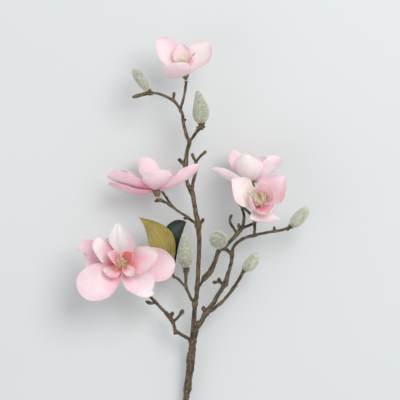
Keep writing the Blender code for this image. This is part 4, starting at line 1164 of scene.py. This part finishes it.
# Stamens: a cone of carpels with a brush of fine filaments round it.
stamenLook = {
    "left_flower": {"seed": 11, "count": 130, "length": (7.5, 12.5), "spread": (25, 82),
                    "bend": 1.2, "redSide": (-1.0, -0.5, 0.0), "red": 0.8},
    "middle_flower": {"seed": 12, "count": 90, "length": (6, 9), "spread": (10, 50)},
    "top_flower": {"seed": 13, "count": 100, "length": (5, 7.5), "spread": (8, 55),
                   "bend": 1.5, "stretch": 1.9, "redSide": (0.0, 0.0, -1.0)},
    "back_flower": {"seed": 14, "count": 90, "length": (6, 9), "spread": (8, 50)},
    "right_flower": {"seed": 15, "count": 130, "length": (10, 16), "spread": (25, 72),
                     "bend": 0.6, "lean": (-0.45, 0.5, -0.1), "redSide": (1.0, 0.6, 0.0),
                     "red": 0.3},
}
# What the flowers share, where the lines above say nothing else.
stamenShape = {
    "foot": 6.5, "coneHeight": 7.5, "coneRadius": 1.9, "coneRows": 44, "coneAround": 36,
    "thread": 0.22, "anther": 0.34, "rings": 9, "sides": 5,
    "bend": 2.0, "stretch": 1.0, "lean": (0.0, 0.0, 0.0), "redSide": (0.0, 0.0, 1.0), "red": 0.2,
}


# The cone: an egg whose skin is pushed out in a spiral of small rounded carpels.
def coneShell(seat, axis, side, rise, look):
    up = np.linspace(0, 1, look["coneRows"])
    angle = np.linspace(0, 2 * np.pi, look["coneAround"], endpoint=False)
    profile = np.sqrt(np.clip(1 - (2 * up - 1) ** 2, 0, 1)) * (1.15 - 0.45 * up)
    knobs = 0.13 * np.cos(8 * angle[None] + 60 * up[:, None]) * np.cos(30 * up[:, None])
    radius = look["coneRadius"] * profile[:, None] * (1 + knobs)
    out = side * np.cos(angle)[:, None] + rise * np.sin(angle)[:, None]
    climb = look["foot"] + look["stretch"] * look["coneHeight"] * up
    points = seat + axis * climb[:, None, None] + out[None] * radius[..., None]
    faces, down, over = gridFaces(len(up), len(angle), True)
    mapAt = np.stack([over / len(angle), up[down]], axis=-1)
    reach = np.repeat(0.35 + 0.65 * up[:, None], len(angle), 1)
    return shell(points, faces, mapAt, 1, reach=reach)


# The filaments: their feet climb the cone on a golden spiral, the lower ones lie flatter,
# each bends up towards the axis by the square of the way out, and each is a thin tube
# that ends in a longer, thicker anther.
def filamentShell(seat, axis, side, rise, look):
    rng = np.random.default_rng(look["seed"])
    count = look["count"]
    k = (np.arange(count) + 0.5) / count
    turn = np.arange(count) * goldenAngle + rng.normal(0, 0.12, count)
    out = side * np.cos(turn)[:, None] + rise * np.sin(turn)[:, None]
    about = np.cross(axis, out)
    low, high = np.radians(look["spread"])
    tilt = high + (low - high) * k ** 0.8 + rng.normal(0, 0.09, count)
    long = look["length"][1] + (look["length"][0] - look["length"][1]) * k
    long = long * rng.uniform(0.82, 1.08, count)
    climb = look["stretch"] * look["coneHeight"] * 0.75
    foot = (seat + axis * (look["foot"] + 0.8 + climb * k)[:, None]
            + out * (look["coneRadius"] * 0.75 * (1 - 0.5 * k))[:, None])
    q = np.linspace(0, 1, look["rings"])
    way = out * np.sin(tilt)[:, None] + axis * np.cos(tilt)[:, None]
    sway = rng.normal(0, 0.7, count)
    path = (foot[:, None] + way[:, None] * (long[:, None] * q)[..., None]
            + axis * (look["bend"] * np.sin(tilt)[:, None] * q ** 2)[..., None]
            + np.array(look["lean"]) * (long[:, None] * q ** 2)[..., None]
            + about[:, None] * (sway[:, None] * q ** 2)[..., None])
    run = unit(np.gradient(path, axis=1))
    over = unit(np.cross(run, about[:, None]))
    thread, anther = look["thread"], look["anther"]
    thick = np.interp(q, [0, 0.72, 0.8, 0.93, 1],
                      [thread, thread * 0.8, anther, anther * 0.9, 0.0])
    angle = np.linspace(0, 2 * np.pi, look["sides"], endpoint=False)
    ring = (about[:, None, None] * np.cos(angle)[None, None, :, None]
            + over[:, :, None] * np.sin(angle)[None, None, :, None])
    points = path[:, :, None] + ring * thick[None, :, None, None]
    faces, down, wide = gridFaces(len(q), len(angle), True)
    each = len(q) * len(angle)
    allFaces = (faces[None] + np.arange(count)[:, None, None] * each).reshape(-1, 4)
    mapAt = np.tile(np.stack([wide / len(angle), q[down]], axis=-1), (count, 1, 1))
    redness = look["red"] * ease(out @ unit(look["redSide"]) + rng.normal(0, 0.35, count), 0.1, 0.8)
    reach = np.broadcast_to(q[None, :, None] * (1 - redness)[:, None, None],
                            (count, len(q), len(angle)))
    return shell(points, allFaces, mapAt, 0, reach=reach)


def makeStamenFinish(name, stops):
    made, tree, shader = newFinish(name)
    reach = readValue(tree, "reach")
    place = objectPlace(tree)
    tone = mathOf(tree, "ADD", reach, spread(tree, noiseOf(tree, place, 500.0), 0.3, 0.7,
                                            -0.12, 0.12))
    tree.links.new(colourRamp(tree, tone, stops), shader.inputs["Base Color"])
    setInputs(shader, {"Roughness": 0.6, "Subsurface Weight": 0.6,
                       "Subsurface Radius": (1.0, 0.8, 0.5), "Subsurface Scale": 0.003})
    bumpOn(tree, shader, noiseOf(tree, place, 1500.0, 1.0), 0.3, 0.0002)
    return made


def makeStamens(flower, finishes):
    seat, axis = seatAndAxis(flower)
    side = unit(np.cross(axis, (1.0, 0.2, 0.1)))
    rise = np.cross(axis, side)
    look = {**stamenShape, **stamenLook[flower]}
    shells = [filamentShell(seat, axis, side, rise, look),
              coneShell(seat, axis, side, rise, look)]
    return addPiece(flower + "_brush", flower + "_stamens", shells, finishes)


# Base and tip, the greatest radius, how far the middle bows aside, and which of the
# profiles below it has.
buds = {
    "left_bud": {"base": (-15.4, -75.1, 41.3), "tip": (-17.5, -38, 46), "radius": 8.8,
                 "bow": (0.5, 0, 0), "profile": "necked"},
    "front_bud": {"base": (23.2, -47.2, 55.4), "tip": (15.5, -38, 80), "radius": 9.6,
                  "bow": (0, 0, 0), "profile": "egg"},
    "outer_right_bud": {"base": (48.6, -77.8, 40.7), "tip": (63, -59, 45), "radius": 6.8,
                        "bow": (0.8, -0.8, 0), "profile": "blunt"},
    "side_bud": {"base": (99.9, -29, 44.1), "tip": (118, -9, 48), "radius": 6.9,
                 "bow": (0.5, -0.5, 0), "profile": "blunt"},
    "top_left_bud": {"base": (-56.1, 120.1, 52.4), "tip": (-72.5, 143, 55), "radius": 6.2,
                     "bow": (0, 0.5, 0), "profile": "blunt"},
    "top_right_bud": {"base": (1.5, 83.5, 55.7), "tip": (-2.5, 118.5, 59), "radius": 9.4,
                      "bow": (1.2, 0, 0), "profile": "necked"},
}
budProfiles = {
    "egg": [(0.0, 0.2), (0.05, 0.48), (0.16, 0.8), (0.3, 0.97), (0.45, 1.0), (0.6, 0.9),
            (0.75, 0.74), (0.88, 0.56), (0.96, 0.36), (1.0, 0.05)],
    "blunt": [(0.0, 0.2), (0.05, 0.5), (0.16, 0.8), (0.3, 0.96), (0.5, 1.0), (0.68, 0.95),
              (0.82, 0.82), (0.92, 0.6), (0.98, 0.34), (1.0, 0.05)],
    "necked": [(0.0, 0.2), (0.05, 0.5), (0.14, 0.8), (0.27, 0.98), (0.37, 1.0), (0.52, 0.9),
               (0.66, 0.72), (0.8, 0.53), (0.9, 0.42), (0.97, 0.3), (1.0, 0.05)],
}
budShape = {
    "rows": 60, "around": 48,
    "skinIn": 0.9,            # the felt under the fur is this much smaller
    "seamDepth": 0.045, "seamWidth": 0.16, "seamTurn": 2.6,
    "hairs": 8000, "hairLength": (1.3, 2.4), "hairThick": 0.1, "lie": 0.5,
    "felt": (0.16, 0.17, 0.08), "feltPale": (0.50, 0.52, 0.36),
    "hairRoot": (0.42, 0.43, 0.24), "hairMid": (0.83, 0.84, 0.64), "hairTip": (1.0, 1.0, 0.96),
}


# The bud is turned about a bowed line; two scales meet along a seam that runs round it.
def budPoint(spec, share, angle, smaller):
    base, tip = np.array(spec["base"], float), np.array(spec["tip"], float)
    axis = unit(tip - base)
    side = unit(np.cross(axis, (0.3, 0.2, 1.0)))
    rise = np.cross(axis, side)
    rows = np.array(budProfiles[spec["profile"]])
    size = np.interp(share, *readRows(rows, np.linspace(0, len(rows) - 1, 90)).T)
    radius = np.maximum(size * spec["radius"] - smaller * np.minimum(1, size * 3), 0.02)
    off = np.sin(angle - budShape["seamTurn"] * share) / budShape["seamWidth"]
    radius = radius * (1 - budShape["seamDepth"] * np.exp(-(off ** 2)) * ease(share, 0.02, 0.2))
    line = (base + np.multiply.outer(share, tip - base)
            + np.multiply.outer(4 * share * (1 - share), np.array(spec["bow"], float)))
    return (line + np.multiply.outer(np.cos(angle) * radius, side)
            + np.multiply.outer(np.sin(angle) * radius, rise))


def budSkin(spec, seed):
    rows, around = budShape["rows"], budShape["around"]
    share = np.linspace(0, 1, rows)[:, None] + np.zeros(around)
    angle = np.linspace(0, 2 * np.pi, around, endpoint=False) + np.zeros((rows, 1))
    points = budPoint(spec, share, angle, budShape["skinIn"])
    points = points + 0.12 * lumps(points, 3.0, seed)[..., None] * unit(
        points - points.mean(axis=1, keepdims=True) + 1e-9)
    faces, down, over = gridFaces(rows, around, True)
    mapAt = np.stack([over / around, down / (rows - 1)], axis=-1)
    return shell(points, faces, mapAt, reach=np.zeros((rows, around)),
                 pale=np.zeros((rows, around)))


# The fur: short three-sided spikes that start on the skin, lean towards the tip of the
# bud, and curve over by the square of the way up.
def budFur(spec, seed):
    look = budShape
    rng = np.random.default_rng(seed)
    count = look["hairs"]
    rows = np.array(budProfiles[spec["profile"]])
    size = readRows(rows, np.linspace(0, len(rows) - 1, 200))
    weight = np.cumsum(np.maximum(size[:, 1], 0.1) * np.gradient(size[:, 0]))
    share = np.interp(rng.uniform(0, 1, count), weight / weight[-1], size[:, 0])
    share = np.clip(share, 0.015, 0.985)
    angle = rng.uniform(0, 2 * np.pi, count)
    root = budPoint(spec, share, angle, look["skinIn"] + 0.1)
    over = budPoint(spec, share, angle + 0.02, look["skinIn"]) - root
    up = budPoint(spec, np.minimum(share + 0.01, 1), angle, look["skinIn"]) - budPoint(
        spec, np.maximum(share - 0.01, 0), angle, look["skinIn"])
    up = unit(up)
    normal = unit(np.cross(over, up))
    base, tip = np.array(spec["base"], float), np.array(spec["tip"], float)
    inward = base + np.multiply.outer(share, tip - base) - root
    normal = normal * -np.sign((normal * inward).sum(axis=1, keepdims=True))
    way = unit(normal * (1 - look["lie"]) + up * look["lie"]
               + 0.22 * rng.normal(size=(count, 3)))
    long = rng.uniform(*look["hairLength"], count)
    q = np.array([0.0, 0.5, 1.0])
    path = (root[:, None] + way[:, None] * (long[:, None] * q)[..., None]
            + up[:, None] * (0.25 * long[:, None] * q ** 2)[..., None])
    a = unit(np.cross(way, normal + 0.01))
    b = np.cross(way, a)
    angle = np.array([0, 2, 4]) * np.pi / 3
    ring = (a[:, None] * np.cos(angle)[None, :, None] + b[:, None] * np.sin(angle)[None, :, None])
    thick = look["hairThick"] * np.array([1.0, 0.8, 0.0])
    points = path[:, :, None] + ring[:, None] * thick[None, :, None, None]
    rings, sides = len(q), len(angle)
    faces, down, wide = gridFaces(rings, sides, True)
    firsts = np.arange(count)[:, None, None] * rings * sides
    allFaces = (faces[None] + firsts).reshape(-1, 4)
    mapAt = np.tile(np.stack([wide / sides, q[down]], axis=-1), (count, 1, 1))
    reach = np.broadcast_to(q[None, :, None], (count, rings, sides))
    pale = np.broadcast_to(rng.uniform(0, 1, count)[:, None, None], (count, rings, sides))
    return shell(points, allFaces, mapAt, 1, reach=reach, pale=pale)


def makeFurFinishes():
    look = budShape
    felt, tree, shader = newFinish("budFelt")
    place = objectPlace(tree)
    tone = noiseOf(tree, place, 420.0, 3.0)
    tree.links.new(colourRamp(tree, tone, [(0.35, look["felt"]), (0.65, look["feltPale"])]),
                   shader.inputs["Base Color"])
    setInputs(shader, {"Roughness": 0.95, "Sheen Weight": 0.6})
    bumpOn(tree, shader, tone, 0.5, 0.0004)
    hair, tree, shader = newFinish("budHair")
    reach = readValue(tree, "reach")
    pale = readValue(tree, "pale")
    place = objectPlace(tree)
    patch = spread(tree, noiseOf(tree, place, 260.0, 2.0), 0.4, 0.6, -0.18, 0.2)
    tone = mathOf(tree, "ADD", mathOf(tree, "MULTIPLY", reach, 0.7),
                  mathOf(tree, "MULTIPLY", pale, 0.35))
    tone = mathOf(tree, "ADD", tone, patch)
    tree.links.new(colourRamp(tree, tone, [(0.0, look["hairRoot"]), (0.4, look["hairMid"]),
                                           (0.85, look["hairTip"])]),
                   shader.inputs["Base Color"])
    setInputs(shader, {"Roughness": 0.7, "Sheen Weight": 0.8, "Sheen Roughness": 0.4})
    return [felt, hair]


def makeBud(name, seed, finishes):
    shells = [budSkin(buds[name], seed), budFur(buds[name], seed)]
    return addPiece(name + "_fur", name, shells, finishes)


# Base and tip of the midrib and its headings there, the width, where it is widest, and
# the angle of its fold.
leaves = {
    "front_leaf": {
        "base": (-34, -76.2, 37.3), "tip": (-67.5, -19, 42), "start": (-0.05, 1, 0.15),
        "finish": (-0.9, 0.45, -0.15), "width": 29, "widest": 0.5, "cup": 24,
        "powers": (1.3, 1.1), "left": [1, 1, 1, 0.92, 0.74, 0.5, 0.4],
        "showsBack": True,
    },
    "back_leaf": {
        "base": (-30.9, -78.3, 32.6), "tip": (-15.5, -24.5, 31), "start": (-0.1, 1, 0.05),
        "finish": (0.95, 0.25, -0.1), "width": 25, "widest": 0.6, "cup": 30, "pointed": 1,
        "left": [1, 0.8, 0.72, 0.75, 0.85, 0.95, 1],
        "showsBack": False,
    },
}
leafLook = {
    "rows": 80, "columns": 45, "thick": 0.8, "rimShare": 0.5,
    "footWidth": 4.2, "footSwell": 1.1, "footPull": 0.38, "tipPull": 0.34,
    "ruffle": 0.7, "waves": 1.7,
    "veins": 9, "veinSlope": 0.34, "veinHeight": 0.16, "ribHeight": 0.45,
    "olive": (0.36, 0.28, 0.055), "oliveDark": (0.22, 0.17, 0.035), "straw": (0.60, 0.50, 0.20),
    "green": (0.003, 0.014, 0.004), "greenPale": (0.012, 0.04, 0.012),
}


# Height of the veins: a ridge along the midrib, and side veins that leave it at even
# places and run forward, so a point's vein number is its way up less its share across.
def veinHeight(t, s):
    look = leafLook
    along = t[:, None] - look["veinSlope"] * np.abs(s)[None]
    near = np.abs((along * look["veins"]) % 1 - 0.5) * 2
    side = look["veinHeight"] * np.exp(-((1 - near) / 0.16) ** 2) * (1 - np.abs(s[None]) ** 3)
    rib = look["ribHeight"] * np.exp(-(s / 0.045) ** 2)[None] * (1 - 0.75 * t[:, None])
    return side * ease(np.abs(s), 0.03, 0.12)[None] * ease(t, 0.02, 0.15)[:, None] + rib


def makeLeafFinish(name, under):
    look = leafLook
    made, tree, shader = newFinish(name)
    vein = readValue(tree, "vein")
    flat = addNode(tree, "ShaderNodeUVMap", uv_map="shapeMap").outputs["UV"]
    place = objectPlace(tree)
    long = stretched(tree, flat, (34.0, 2.2, 0.0))
    streak = noiseOf(tree, long, 1.0, 4.0, 0.65)
    cloud = noiseOf(tree, place, 60.0, 3.0)
    if under:
        foot = addNode(tree, "ShaderNodeSeparateXYZ", {0: flat}).outputs["Y"]
        base = colourRamp(tree, cloud, [(0.35, look["oliveDark"]), (0.6, look["olive"])])
        pale = mathOf(tree, "MULTIPLY", spread(tree, streak, 0.52, 0.68),
                      spread(tree, foot, 0.75, 0.1, 0.15, 0.9))
        base = mixColour(tree, pale, base, look["straw"])
        base = mixColour(tree, spread(tree, vein, 0.05, 0.5, 0.0, 0.6), base, look["straw"])
        shader.inputs["Roughness"].default_value = 0.6
    else:
        base = colourRamp(tree, cloud, [(0.35, look["green"]), (0.65, look["greenPale"])])
        base = mixColour(tree, spread(tree, vein, 0.05, 0.5, 0.0, 0.45), base, (0.06, 0.12, 0.04))
        setInputs(shader, {"Roughness": 0.42, "Coat Weight": 0.25, "Coat Roughness": 0.25})
    tree.links.new(base, shader.inputs["Base Color"])
    bumpOn(tree, shader, mathOf(tree, "ADD", streak, mathOf(tree, "MULTIPLY", cloud, 0.5)), 0.35,
           0.0003)
    return made


def makeLeaf(name, upper, under):
    leaf = leaves[name]
    foot, tip = np.array(leaf["base"], float), np.array(leaf["tip"], float)
    start, finish = unit(leaf["start"]), unit(leaf["finish"])
    across = [np.cross((0, 0, 1), start), np.cross((0, 0, 1), finish)]
    sheet, t, s = bladeSheet(foot, start, tip, finish, across, leaf, leafLook)
    normal = unit(np.cross(np.gradient(sheet, axis=0), np.gradient(sheet, axis=1)))
    vein = veinHeight(t, s)
    sheet = sheet + normal * (vein * (1 if leaf["showsBack"] else -1))[..., None]
    finishes = [under, upper] if leaf["showsBack"] else [upper, under]
    return addBlade(name + "_blade", name, sheet, t, s, leafLook,
                    {"vein": vein}, finishes)


barkFinishes = [makeBarkFinish(), makeCupFinish(), makeWoodFinish()]
for number, name in enumerate(twigs):
    makeTwig(name, number, barkFinishes)
print("twigs made:", len(twigs))

petalFinishes = [makePetalFinish("petalInside", "blush", True),
                 makePetalFinish("petalOutside", "backBlush", False)]
for flower in flowers:
    for petal in flowers[flower]["petals"]:
        makePetal(flower, petal, petalFinishes)
print("petals made")

cream = [(0.0, (0.94, 0.32, 0.26)), (0.16, (0.98, 0.66, 0.44)), (0.34, (1.0, 0.86, 0.52)),
         (1.0, (1.0, 0.95, 0.70))]
carpel = [(0.0, (0.95, 0.66, 0.38)), (0.6, (1.0, 0.88, 0.54)), (1.0, (1.0, 0.94, 0.66))]
stamenFinishes = [makeStamenFinish("filaments", cream), makeStamenFinish("carpels", carpel)]
for flower in flowers:
    makeStamens(flower, stamenFinishes)
print("stamens made")

furFinishes = makeFurFinishes()
for number, name in enumerate(buds):
    makeBud(name, 70 + number, furFinishes)
print("buds made:", len(buds))

leafUpper, leafUnder = makeLeafFinish("leafUpper", False), makeLeafFinish("leafUnder", True)
for name in leaves:
    makeLeaf(name, leafUpper, leafUnder)
print("leaves made:", len(leaves))
